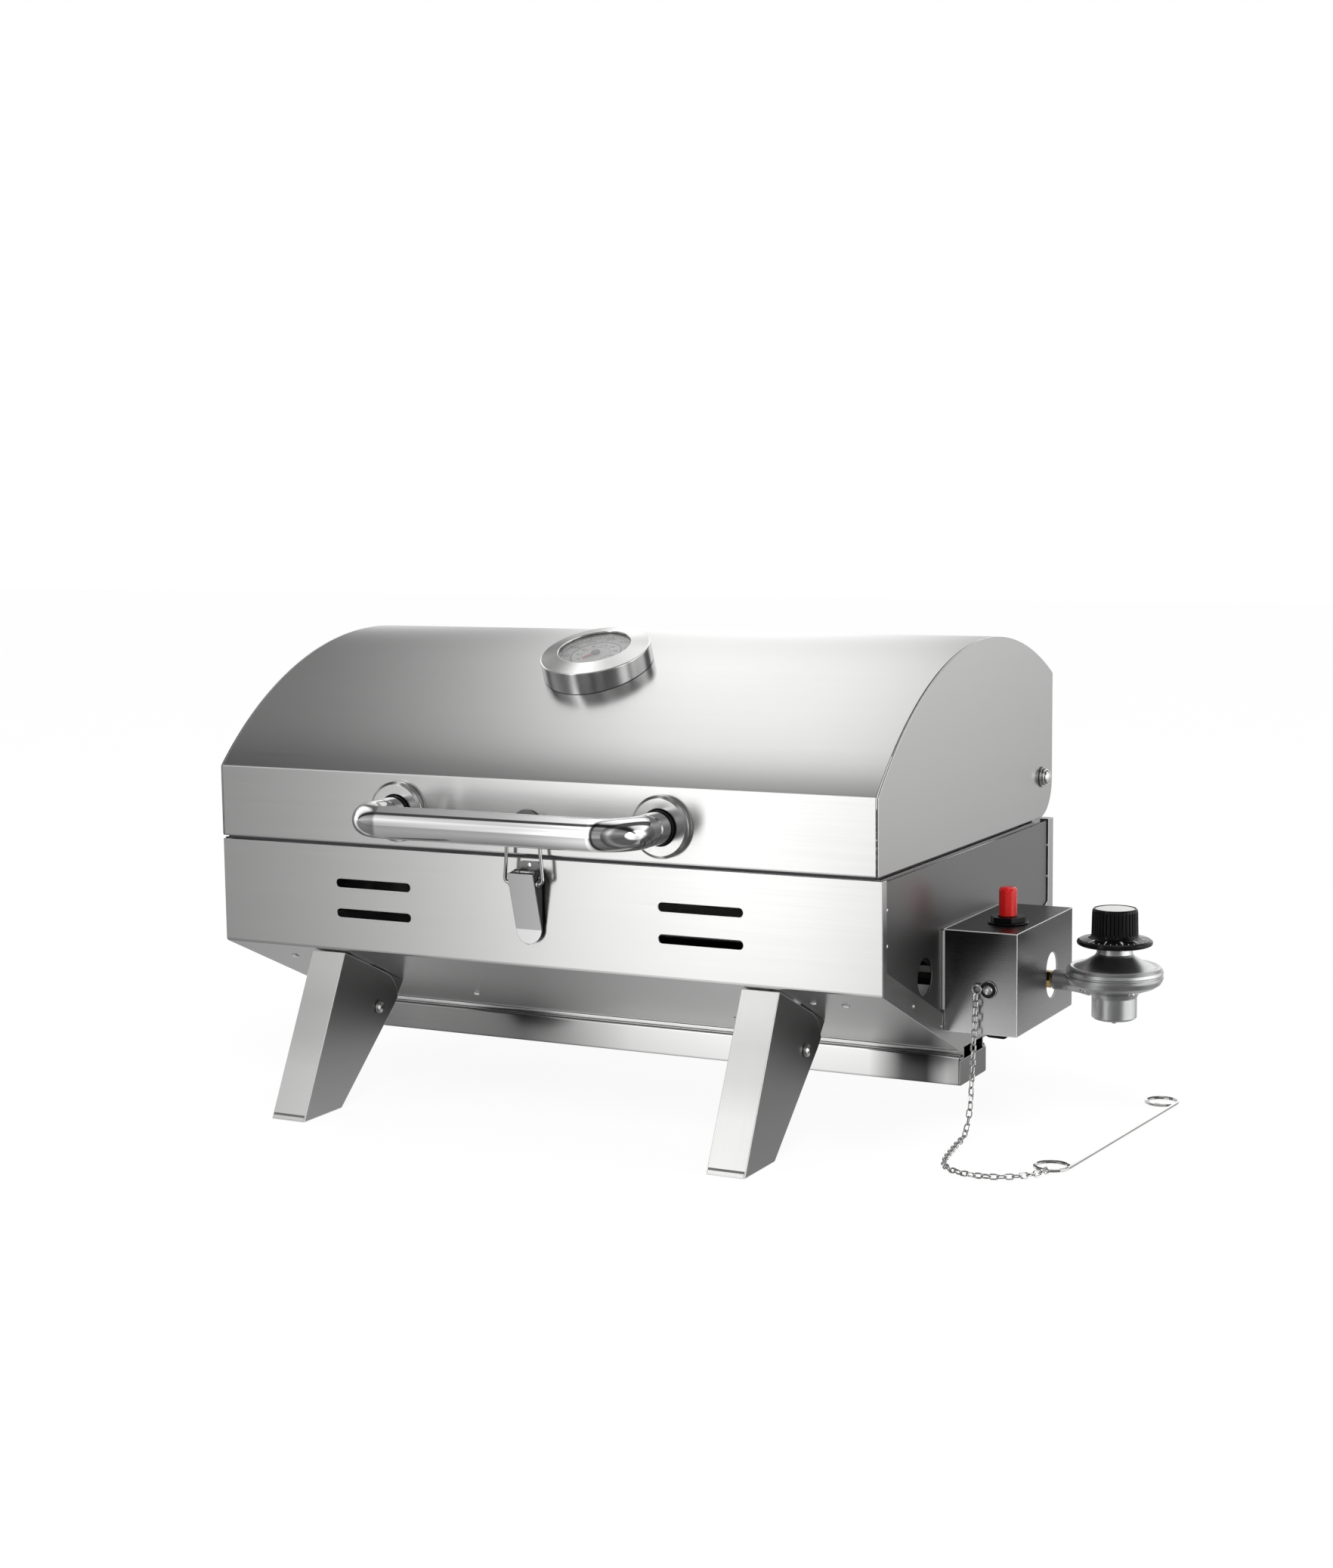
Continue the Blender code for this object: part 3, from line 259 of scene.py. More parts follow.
def together(shapes):
    """One mesh that holds several separate solids."""
    whole = bmesh.new()
    for shape in shapes:
        part = bpy.data.meshes.new("part")
        shape.to_mesh(part)
        shape.free()
        whole.from_mesh(part)
        bpy.data.meshes.remove(part)
    return whole


def shift(x, y, z):
    return Matrix.Translation((x, y, z))


def turn(angle, axis="Z"):
    """A turn about an axis by an angle in degrees."""
    return Matrix.Rotation(radians(angle), 4, axis)


def moved(shape, matrix):
    bmesh.ops.transform(shape, matrix=matrix, verts=shape.verts)
    return shape


def linked(name, data):
    """A new object in the scene."""
    made = bpy.data.objects.new(name, data)
    bpy.context.scene.collection.objects.link(made)
    return made


def loose_object(shape, name):
    bmesh.ops.recalc_face_normals(shape, faces=shape.faces)
    mesh = bpy.data.meshes.new(name)
    shape.to_mesh(mesh)
    shape.free()
    return linked(name, mesh)


def finished_shape(thing, *spare):
    """An object's mesh as its modifiers leave it; the object and the spare ones are removed."""
    bpy.context.view_layer.update()
    graph = bpy.context.evaluated_depsgraph_get()
    mesh = bpy.data.meshes.new_from_object(thing.evaluated_get(graph))
    shape = bmesh.new()
    shape.from_mesh(mesh)
    bpy.data.meshes.remove(mesh)
    for used in (thing, *spare):
        bpy.data.objects.remove(used, do_unlink=True)
    return shape


def combined(shape, *others, operation="DIFFERENCE"):
    """The shape with the others cut away from it, or joined to it."""
    base = loose_object(shape, "base")
    tools = [loose_object(other, "tool") for other in others]
    for tool in tools:
        modifier = base.modifiers.new("boolean", "BOOLEAN")
        modifier.operation = operation
        modifier.solver = "EXACT"
        modifier.object = tool
    result = finished_shape(base, *tools)
    bmesh.ops.remove_doubles(result, verts=result.verts, dist=WELD)
    bmesh.ops.dissolve_limit(result, angle_limit=FLAT_ANGLE, verts=result.verts,
                             edges=result.edges)
    return result


def slot_outline(start, end, middle, height, steps=16):
    radius = height / 2
    return (arc((end - radius, middle), radius, -90, 90, steps)
            + arc((start + radius, middle), radius, 90, 270, steps))


def smooth_route(points, steps=10):
    """Points on a Catmull-Rom curve through the route's points."""
    knots = [Vector(p) for p in points]
    knots = [2 * knots[0] - knots[1]] + knots + [2 * knots[-1] - knots[-2]]
    fine = []
    for a, b, c, d in zip(knots, knots[1:], knots[2:], knots[3:]):
        for k in range(steps):
            t = k / steps
            fine.append(0.5 * (2 * b + (c - a) * t + (2 * a - 5 * b + 4 * c - d) * t ** 2
                               + (3 * b - a - 3 * c + d) * t ** 3))
    return fine + [knots[-2]]


def evenly(path, spacing):
    """Points along a path at one spacing, with its length."""
    length = sum((b - a).length for a, b in zip(path, path[1:]))
    count = round(length / spacing)
    picked, walked = [path[0]], 0.0
    for a, b in zip(path, path[1:]):
        step = (b - a).length
        while len(picked) < count and walked + step >= len(picked) * length / count:
            t = (len(picked) * length / count - walked) / step
            picked.append(a.lerp(b, t))
        walked += step
    return picked + [path[-1]], length


# ---------------------------------------------------------------- materials

class Nodes:
    """Short ways to add and join the nodes of one material or world."""

    def __init__(self, tree):
        self.tree = tree

    def add(self, kind, settings=None, **inputs):
        node = self.tree.nodes.new("ShaderNode" + kind)
        for key, value in (settings or {}).items():
            setattr(node, key, value)
        for key, value in inputs.items():
            self.put(node.inputs[key.replace("_", " ")], value)
        return node

    def put(self, socket, value):
        if isinstance(value, bpy.types.NodeSocket):
            self.tree.links.new(value, socket)
        else:
            socket.default_value = value

    def operate(self, kind, operation, values):
        node = self.add(kind, {"operation": operation})
        for socket, value in zip(node.inputs, values):
            self.put(socket, value)
        return node.outputs[0]

    def math(self, operation, *values):
        return self.operate("Math", operation, values)

    def vector(self, operation, *values):
        return self.operate("VectorMath", operation, values)

    def place(self, kind="Object"):
        return self.add("TexCoord").outputs[kind]

    def part(self, vector, axis):
        return self.add("SeparateXYZ", Vector=vector).outputs[axis]

    def mix(self, kind, factor, first, second):
        """Blends two colours (RGBA) or vectors (VECTOR)."""
        node = self.add("Mix", {"data_type": kind})
        ends = [s for s in node.inputs if s.type == kind and s.name in "AB"]
        self.put(node.inputs["Factor"], factor)
        self.put(ends[0], first)
        self.put(ends[1], second)
        return next(s for s in node.outputs if s.type == kind)

    def noise(self, vector, scale=1.0, detail=3.0, roughness=0.6):
        return self.add("TexNoise", Vector=vector, Scale=scale, Detail=detail,
                        Roughness=roughness).outputs["Fac"]

    def between(self, value, low, high, start=0.0, end=1.0):
        """Maps start..end to low..high."""
        return self.add("MapRange", Value=value, From_Min=start, From_Max=end, To_Min=low,
                        To_Max=high).outputs[0]

    def ramp(self, factor, stops):
        """A colour ramp of greys, given as (place, brightness)."""
        node = self.add("ValToRGB", Fac=factor)
        elements = node.color_ramp.elements
        while len(elements) < len(stops):
            elements.new(0.5)
        for element, (place, grey) in zip(elements, stops):
            element.position = place
            element.color = (grey, grey, grey, 1.0)
        return node.outputs["Color"]

    def bump(self, shader, height, strength, distance):
        ridges = self.add("Bump", Strength=strength, Distance=distance, Height=height)
        self.put(shader.inputs["Normal"], ridges.outputs["Normal"])


def new_material(name):
    material = bpy.data.materials.new(name)
    material.use_nodes = True
    return material, Nodes(material.node_tree), material.node_tree.nodes["Principled BSDF"]


def tinted(nodes, colour, amount, factor):
    """The colour, or the grey of a single number, a little darker and lighter by the factor."""
    colour = colour if isinstance(colour, tuple) else (colour,) * 3
    dark = tuple(c * (1 - amount) for c in colour) + (1.0,)
    light = tuple(min(c * (1 + amount), 1.0) for c in colour) + (1.0,)
    return nodes.mix("RGBA", factor, dark, light)


MOST_GAIN = 2.5     # a ramp holds 0 to 1, so gains are stored as parts of this


def dulled_tint(nodes, tint, here, axis, stops):
    """The tint with painted light and shade: brighter or darker by the amounts at places along an axis, in
    mm.
    """
    shift_by = {"X": CENTRE.x, "Z": 0.0}[axis]
    low, high = stops[0][0], stops[-1][0]
    along_it = nodes.between(nodes.part(here, axis), 0.0, 1.0, shift_by + low * MM,
                             shift_by + high * MM)
    gain = nodes.ramp(along_it, [((at - low) / (high - low), amount / MOST_GAIN)
                                 for at, amount in stops])
    return nodes.vector("MULTIPLY", tint, nodes.vector("MULTIPLY", gain, (MOST_GAIN,) * 3))


# How densely the brushing varies along X, Y and Z, per metre: it is drawn out where it is low
BRUSHED_X, BRUSHED_Y, BRUSHED_UP_LEG = (9, 1300, 1300), (1300, 9, 1300), (2000, 24, 24)


def brushed_steel(name, colour, roughness, anisotropy=0.6, painted_light=None, along=BRUSHED_X):
    """Brushed sheet: fine lines along X, or along Y on the faces that point along X, with painted light
    and shade along an axis where it is given.
    """
    material, nodes, shader = new_material(name)
    here = nodes.place()
    facing_x = nodes.math("ABSOLUTE", nodes.part(nodes.place("Normal"), "X"))
    sideways = nodes.math("GREATER_THAN", facing_x, 0.75)
    lines = nodes.mix("VECTOR", sideways, nodes.vector("MULTIPLY", here, along),
                      nodes.vector("MULTIPLY", here, BRUSHED_Y))
    fine = nodes.noise(lines, 1.0, 4.0, 0.62)
    broad = nodes.noise(lines, 0.13, 2.0, 0.5)
    cloud = nodes.noise(here, 9.0, 2.0, 0.5)
    tone = nodes.math("ADD", nodes.math("MULTIPLY", fine, 0.55),
                      nodes.math("MULTIPLY", broad, 0.45))
    tint = tinted(nodes, colour, 0.035, tone)
    # painted light and shade: the base colour made brighter or darker at places along an axis
    if painted_light:
        tint = dulled_tint(nodes, tint, here, *painted_light)
    nodes.put(shader.inputs["Base Color"], tint)
    rough = nodes.math("ADD", nodes.between(fine, roughness - 0.03, roughness + 0.03),
                       nodes.between(cloud, -0.015, 0.015))
    nodes.put(shader.inputs["Roughness"], rough)
    shader.inputs["Metallic"].default_value = 1.0
    shader.inputs["Anisotropic"].default_value = anisotropy
    facing = nodes.add("NewGeometry").outputs["Normal"]
    upward = nodes.vector("CROSS_PRODUCT", facing, (1.0, 0.0, 0.0))
    nodes.put(shader.inputs["Tangent"], nodes.mix("VECTOR", sideways, upward, (0.0, 0.0, 1.0)))
    nodes.bump(shader, fine, 0.012, 0.0001)
    return material


def cast_metal(name, colour, roughness, grain, strength, amount=0.08, metallic=1.0,
               specular=0.5):
    """Metal or plastic with a fine even grain, such as a casting or a moulding."""
    material, nodes, shader = new_material(name)
    here = nodes.place()
    fine = nodes.noise(here, grain, 4.0, 0.6)
    cloud = nodes.noise(here, grain / 14, 3.0, 0.55)
    nodes.put(shader.inputs["Base Color"], tinted(nodes, colour, amount, cloud))
    rough = nodes.math("ADD", nodes.between(fine, roughness * 0.85, roughness * 1.15),
                       nodes.between(cloud, -0.03, 0.03))
    nodes.put(shader.inputs["Roughness"], rough)
    shader.inputs["Metallic"].default_value = metallic
    shader.inputs["Specular IOR Level"].default_value = specular
    nodes.bump(shader, fine, strength, 0.0002)
    return material


def glass_material(name):
    material, nodes, shader = new_material(name)
    smear = nodes.noise(nodes.place(), 60.0, 2.0, 0.5)
    nodes.put(shader.inputs["Roughness"], nodes.between(smear, 0.0, 0.03))
    shader.inputs["Base Color"].default_value = (1.0, 1.0, 1.0, 1.0)
    shader.inputs["Transmission Weight"].default_value = 1.0
    shader.inputs["IOR"].default_value = 1.45
    return material


STEEL = (0.64, 0.64, 0.635)
# painted shade on the valve cover: darker towards the top, brighter towards the bottom, as (height in mm,
# gain)
COVER_PAINTED_SHADE = ("Z", ((77, 2.1), (90, 1.8), (145, 0.35), (153, 0.3)))
# painted reflections on the tray: bright and dark bands along X, as (place in mm, gain)
TRAY_PAINTED_REFLECTIONS = ("X", ((-200, 0.5), (-100, 0.25), (0, 0.7), (205, 0.95), (232, 0.15), (252, 0.1),
                    (268, 0.9), (280, 0.7)))
# painted shade on the cheeks: lighter towards the bottom, as (height in mm, gain)
CHEEK_PAINTED_SHADE = ("Z", ((0, 1.2), (60, 1.0), (90, 0.85), (120, 0.75)))
# painted light and shade on the legs: lighter near the foot, darker about midway up, as (height in mm,
# gain)
LEG_PAINTED_LIGHT = ("Z", ((0, 1.1), (36, 1.08), (60, 0.9), (84, 0.86), (108, 0.98), (130, 1.0)))
BRUSHED = {     # look: (the material's name, the record's slot, what brushed_steel() takes)
    "steel": ("brushed_steel", "stainless", STEEL, 0.24),
    # side: a darker copy of the steel, painted shade on the end plates, their rims, the latch mount and
    # the keeper
    "side": ("brushed_steel_side", "stainless", 0.23, 0.34),
    # cover: a darker copy of the steel with painted shade
    "cover": ("brushed_steel_cover", "stainless", 0.27, 0.28, 0.6, COVER_PAINTED_SHADE),
    "tray": ("brushed_steel_tray", "stainless", STEEL, 0.14, 0.5, TRAY_PAINTED_REFLECTIONS),
    "lever": ("brushed_steel_lever", "stainless", 0.57, 0.2, 0.3),
    # cheek: a darker copy of the steel, painted shade on the side faces of the legs, their brackets and
    # the lever
    "cheek": ("brushed_steel_cheek", "stainless", 0.32, 0.32, 0.6, CHEEK_PAINTED_SHADE),
    "leg": ("brushed_steel_leg", "stainless", (0.58, 0.58, 0.575), 0.24, 0.5, LEG_PAINTED_LIGHT, BRUSHED_UP_LEG),
    "inner": ("inner_steel", "stainless_inner", (0.45, 0.45, 0.445), 0.38, 0.4),
}
CAST = {        # look: (the material's name, the record's slot, what cast_metal() takes)
    # edge: a bright, half dull copy of the steel, a painted highlight along bevelled bends and the cover's
    # front strips
    "edge": ("edge_steel", "stainless", (0.74, 0.74, 0.73), 0.4, 200.0, 0.005, 0.02, 0.5),
    "ring": ("turned_steel", "stainless", STEEL, 0.22, 500.0, 0.03, 0.03),
    "satin": ("satin_steel", "stainless", (0.88, 0.88, 0.87), 0.24, 700.0, 0.04, 0.03),
    # wall: a darker copy of the turned steel, painted shade on the thermometer's side wall
    "wall": ("turned_wall_steel", "stainless", 0.60, 0.2, 700.0, 0.02, 0.03),
    # seam: a dark copy of the steel, painted shade in the groove above the foot
    "seam": ("seam_steel", "stainless", 0.22, 0.4, 700.0, 0.02, 0.05),
    "chrome": ("chrome", "chrome", 0.82, 0.05, 90.0, 0.004, 0.02),
    "bolt": ("bolt_steel", "bolt_steel", (0.66, 0.66, 0.65), 0.18, 900.0, 0.05),
    # rivet: a near-white, partly dull copy of the steel, a painted highlight on the rivet heads
    "rivet": ("rivet_steel", "bolt_steel", (0.95, 0.95, 0.94), 0.3, 300.0, 0.005, 0.02, 0.6),
    "grate": ("grate_steel", "grate_steel", (0.60, 0.60, 0.58), 0.26, 500.0, 0.05),
    "cast": ("die_cast", "die_cast", (0.62, 0.625, 0.625), 0.37, 1100.0, 0.25, 0.12),
    "brass": ("brass", "brass", (0.80, 0.57, 0.25), 0.22, 900.0, 0.05),
    "black": ("black_plastic", "black_plastic", (0.004, 0.004, 0.0045), 0.22, 1500.0, 0.05, 0.2, 0.0, 0.2),
    # print: dark print on the dial, also painted shadow round the rivets and painted shade inside the
    # lid's foot
    "print": ("print_grey", "black_plastic", (0.05, 0.05, 0.055), 0.5, 900.0, 0.01, 0.05, 0.0),
    "cap": ("knob_cap_metal", "black_plastic", (0.88, 0.88, 0.87), 0.5, 700.0, 0.06, 0.05, 0.35),
    "red": ("red_plastic", "red_plastic", (0.62, 0.006, 0.006), 0.28, 1200.0, 0.05, 0.06, 0.0),
    "ceramic": ("ceramic", "ceramic", (0.82, 0.80, 0.74), 0.40, 900.0, 0.08, 0.03, 0.0),
    "dial": ("dial_white", "dial_white", (0.80, 0.80, 0.79), 0.45, 900.0, 0.01, 0.02, 0.0),
    "paper": ("dial_middle", "dial_white", (0.93, 0.93, 0.92), 0.45, 900.0, 0.01, 0.02, 0.0),
    "mark": ("mark_pale", "dial_white", (0.75, 0.75, 0.74), 0.5, 900.0, 0.01, 0.05, 0.0),
    "needle": ("needle_red", "needle_red", (0.55, 0.03, 0.02), 0.35, 900.0, 0.02, 0.04, 0.0),
}
LOOKS = {"glass": (glass_material("glass"), "glass")}    # look: (material, the record's slot)
for make, looks in ((brushed_steel, BRUSHED), (cast_metal, CAST)):
    for look, (name, slot, *settings) in looks.items():
        LOOKS[look] = (make(name, *settings), slot)


def add_piece(name, shape, look, body, replaced=None, bevel=0.0, segments=3, crease=30,
              edge=None):
    """Puts a shape in the scene as a piece that rides on a body and stands for a CAD node."""
    piece = loose_object(moved(shape, Matrix.Translation(CENTRE) @ Matrix.Scale(MM, 4)), name)
    material, slot = LOOKS[look]
    piece.data.materials.append(material)
    piece.data.shade_smooth()
    if bevel:
        edges = piece.modifiers.new("soft_edges", "BEVEL")
        edges.width = bevel * MM
        edges.segments = segments
        edges.limit_method = "ANGLE"
        edges.angle_limit = radians(crease)
        edges.use_clamp_overlap = True
        # the bevel strips can take another look: the painted highlight along bends
        if edge:
            piece.data.materials.append(LOOKS[edge][0])
            edges.material = 1
    else:
        piece.data.set_sharp_from_angle(angle=SHARP_ANGLE)
    piece.modifiers.new("shading", "WEIGHTED_NORMAL").keep_sharp = True
    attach(piece, body)
    if replaced:
        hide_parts(replaced)
    return piece


def repaint(look, *nodes):
    """Gives CAD nodes that stay a finished material."""
    for name in nodes:
        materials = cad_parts[name].data.materials
        materials.clear()
        materials.append(LOOKS[look][0])


def paint_faces(piece, look, index, test):
    """Gives a piece's faces that pass the test another look."""
    piece.data.materials.append(LOOKS[look][0])
    for face in piece.data.polygons:
        if test(face):
            face.material_index = index


# ---------------------------------------------------------------- firebox

def firebox_outline(rim=RIM_HEIGHT):
    """The firebox's end view, anticlockwise from the front rim, with soft bends."""
    front = [(-HALF_DEPTH, rim), (-HALF_DEPTH, KNEE_HEIGHT), (-FLOOR_HALF, FLOOR_HEIGHT)]
    return soften(front + [(-y, z) for y, z in front[::-1]], [0, 3, 3, 3, 3, 0])


def firebox_window():
    """The opening that the end flanges leave, open at the top."""
    front, rear = -HALF_DEPTH + FRONT_FLANGE, HALF_DEPTH - REAR_FLANGE
    lift = SLOPE_FLANGE / cos(SLOPE)

    def slope_height(y):
        return KNEE_HEIGHT - (HALF_DEPTH - abs(y)) * tan(SLOPE) + lift

    low = FLOOR_HEIGHT + SLOPE_FLANGE
    floor_y = FLOOR_HALF + (low - FLOOR_HEIGHT - lift) / tan(SLOPE)
    return [(front, RIM_HEIGHT + HEM), (front, slope_height(front)), (-floor_y, low),
            (floor_y, low), (rear, slope_height(rear)), (rear, RIM_HEIGHT + HEM)]


def make_firebox():
    reach, mouth = HALF_LENGTH - SHEET, HALF_DEPTH - HEM
    inside = prism(offset_path(firebox_outline(), SHEET, closed=True), -reach, reach)
    window = prism(firebox_window(), -HALF_LENGTH - HEM, HALF_LENGTH + HEM)
    slot_x, slot_y = GREASE_SLOT_HALF
    openings = [box((-reach, reach), (-mouth, mouth), (RIM_HEIGHT - HEM, RIM_HEIGHT + HEM)),
                box((-slot_x, slot_x), (-slot_y, slot_y), (FLOOR_HEIGHT - 9, FLOOR_HEIGHT + 9))]
    for level in VENT_LEVELS:
        for start, end in ((VENT_START, VENT_END), (-VENT_END, -VENT_START)):
            outline = slot_outline(start, end, level, VENT_HEIGHT)
            openings.append(prism(outline, -HALF_DEPTH - HEM, -HALF_DEPTH + HEM, "Y"))
    shell = prism(firebox_outline(), -HALF_LENGTH, HALF_LENGTH)
    shell = combined(shell, inside, window, together(openings))
    add_piece("firebox_wrap", shell, "steel", "root", "firebox_shell", bevel=0.45)

    outline = offset_path(firebox_outline(RIM_HEIGHT - GAP), SHEET + GAP, closed=True)
    # the end rims and plates take the darker copy of the steel: painted shade
    for side, name in SIDES:
        faces = sorted((side * PANEL_INNER, side * PANEL_OUTER))
        panel = prism(outline, *faces)
        rim = box(faces, (1 - HALF_DEPTH, 140.0), (RIM_HEIGHT - 1, RIM_HEIGHT + 1.1))
        add_piece(f"end_rim_{name}", rim, "side", "root", bevel=0.3)
        if side > 0:
            y, z, radius = LIGHTING_HOLE
            holes = [rod(r, (PANEL_INNER - 2, y, z), (PANEL_OUTER + 2, y, z), n)
                     for r, y, z, n in ((radius, y, z, 56), (13.3, GAS_Y, GAS_Z, 32),
                                        (4.2, ELECTRODE_Y, ELECTRODE_Z, 20))]
            panel = combined(panel, together(holes))
        add_piece(f"end_plate_{name}", panel, "side", "root", f"end_panel_{name}", bevel=0.3)


def rivet(centre, axis, radius=2.5, height=1.5, sides=24):
    """A low domed head."""
    profile = [(0, -0.4), (radius, -0.4)] + dome(radius, 0.0, height, 18) + [(0, height)]
    return turned(profile, centre, axis, sides)


def make_rivets():
    slope_spots = ((-238.1, 33.4), (-116.2, 109.3), (116.2, 109.3), (212.7, 33.5), (238.1, 33.4))
    heads, painted_shadows, welds = [], [], []
    for side in (-1, 1):
        outward = (0.0, side * sin(SLOPE), -cos(SLOPE))
        for x, inset in slope_spots:
            spot = (x, side * (HALF_DEPTH - inset), KNEE_HEIGHT - inset * tan(SLOPE))
            heads.append(rivet(spot, outward))
            painted_shadows.append(collar(0, 3.1, -0.3, 0.15, spot, outward, 32, 0.05))
    # the rivet heads get a painted highlight
    add_piece("slope_rivets", together(heads), "rivet", "root")
    # dark rings round the rivets: painted shadow
    add_piece("rivet_painted_shadows", together(painted_shadows), "print", "root")
    for side in (-1, 1):
        for reach, spots in ((PANEL_OUTER, ((-172.1, 183.4), (-172.1, 157.9), (-172.1, 132.9))),
                             (HALF_LENGTH, ((-125.3, 106.8), (-70.0, 81.5)))):
            for y, z in spots:
                for depth in (1, -1):
                    welds.append(rivet((side * reach, y * depth, z), (side, 0, 0), 1.5, 0.8, 16))
    add_piece("end_spot_welds", together(welds), "ring", "root")


def make_hinge_bolts():
    """A washer and a domed cap nut outside each lid end."""
    nut, ear, plate = 270.0, 275.0 - GAP, LID_HALF + GAP
    outer = plate + 1.3
    for side, name in SIDES:
        place = (0, HINGE_Y, HINGE_Z), (side, 0, 0), 40
        shank = turned([(0, nut), (6.5, nut), (6.5, ear), (4.0, ear), (4.0, plate), (8.5, plate),
                        (8.5, outer), (0, outer)], *place, 0.3)
        cap = turned([(0, outer), (6.8, outer), (6.8, 281.4)] + dome(6.4, 281.6, 3.4, 12)
                     + [(0, HINGE_BOLT_END)], *place)
        add_piece(f"hinge_cap_{name}", together([shank, cap]), "bolt", "root",
                  f"hinge_bolt_{name}")


def make_grate():
    """Round rods along Y on a frame of thicker rod."""
    half_x, half_y, low = 268.0, 177.0, 185.5
    x, y = half_x - 3, half_y - 3
    rim = [(a, b, low + 2.6) for a, b in soften([(-x, -y), (x, -y), (x, y), (-x, y)], 9.0, 8)]
    parts = [swept(rim, 2.6, 14, closed=True),
             rod(2.2, (-half_x + 4, 0, low + 2.2), (half_x - 4, 0, low + 2.2), 12)]
    pitch, count = 17.6, 31
    for k in range(count):
        x = (k - (count - 1) / 2) * pitch
        if abs(x) < half_x - 3:
            parts.append(rod(2.0, (x, -half_y + 4, low + 3.0), (x, half_y - 4, low + 3.0), 12))
    add_piece("grate_rods", together(parts), "grate", "root", "cooking_grate")


# ---------------------------------------------------------------- lid

def lid_outline():
    """The lid's end view from the front foot over the arch to the rear panel's foot."""
    start = degrees(atan2(BAND_TOP - ARCH_Z, LID_FRONT - ARCH_Y))
    rear = LID_REAR - ARCH_Y
    end = degrees(atan2((ARCH_RADIUS ** 2 - rear ** 2) ** 0.5, rear))
    arch = arc((ARCH_Y, ARCH_Z), ARCH_RADIUS, start, end, 110)
    return soften([(LID_FRONT, LID_BOTTOM)] + arch + [(LID_REAR, REAR_BOTTOM)], 2.2, 6,
                  closed=False)


def make_lid():
    path = soften([(LID_FRONT + 8.0, LID_BOTTOM)] + lid_outline(), 1.6, closed=False)
    reach = LID_HALF - LID_END - LID_GAP
    shell = prism(strip(path, -SHEET), -reach, reach)
    add_piece("lid_skin", shell, "steel", "lid", "lid_shell", bevel=0.35, crease=40)

    centre = (LID_REAR - LID_CORNER_RADIUS, LID_BOTTOM + LID_CORNER_RADIUS)
    outline = soften(lid_outline()[:-1] + arc(centre, LID_CORNER_RADIUS, 0, -90, 16), 1.6, 4)
    low, inset = RIM_HEIGHT + 0.5, 4.5
    painted_light_strips = [box((-LID_HALF + inset, LID_HALF - inset), (LID_FRONT + inset, LID_FRONT + inset + 0.8),
                (low, low + 7.0))]
    for side, name in SIDES:
        plate = prism(outline, *sorted((side * (LID_HALF - LID_END), side * LID_HALF)))
        hole = rod(4.4, (side * 270, HINGE_Y, HINGE_Z), (side * 285, HINGE_Y, HINGE_Z), 24)
        add_piece(f"lid_cheek_{name}", combined(plate, hole), "steel", "lid", f"lid_end_{name}",
                  bevel=0.75, segments=4, crease=40)
        across = sorted((side * (LID_HALF - 2.8), side * (LID_HALF - 3.6)))
        painted_light_strips.append(box(across, (LID_FRONT + inset, 110.0), (low, low + 7.0)))
    # the strips are near black: painted shade in the gap between the lid and the firebox
    add_piece("lid_painted_light_strips", together(painted_light_strips), "print", "lid")


def make_handle():
    """A bent chrome tube between two round bezels, with a dark ring at each root."""
    root = BEZEL_FRONT - 1.5
    corners = [(-HANDLE_X, root, HANDLE_Z), (-HANDLE_X, HANDLE_Y, HANDLE_Z),
               (HANDLE_X, HANDLE_Y, HANDLE_Z), (HANDLE_X, root, HANDLE_Z)]
    path = soften(corners, HANDLE_BEND, 28, closed=False)
    add_piece("handle_tube", swept(path, HANDLE_RADIUS, 72), "chrome", "lid", "lid_handle")
    back = LID_FRONT - GAP
    bezel = [(4.0, back), (BEZEL_RADIUS, back), (BEZEL_RADIUS, BEZEL_FRONT + 1.6),
             (BEZEL_RADIUS - 2.2, BEZEL_FRONT), (13.6, BEZEL_FRONT), (12.9, BEZEL_FRONT + 1.0),
             (4.0, BEZEL_FRONT + 1.0)]
    ring = [(0.0, root - 1.6), (12.9, root - 1.6), (12.9, BEZEL_FRONT + 0.7),
            (0.0, BEZEL_FRONT + 0.7)]
    for side, name in SIDES:
        for label, profile, look, stands_for, soft in (
                ("bezel", bezel, "ring", f"handle_bezel_{name}", 0.7),
                ("handle_ring", ring, "black", None, 0.3)):
            piece = turned([(radius, -y) for radius, y in profile],
                           (side * HANDLE_X, 0, HANDLE_Z), (0, -1, 0), 96, soft, 4)
            add_piece(f"{label}_{name}", piece, look, "lid", stands_for)


DIAL_CENTRE = Vector((0, DIAL_Y, ARCH_Z + ARCH_RADIUS * cos(DIAL_TILT)))


def on_dial(shape):
    """Moves a shape made about the vertical axis onto the thermometer's axis."""
    return moved(shape, Matrix.Translation(DIAL_CENTRE) @ Matrix.Rotation(DIAL_TILT, 4, "X"))


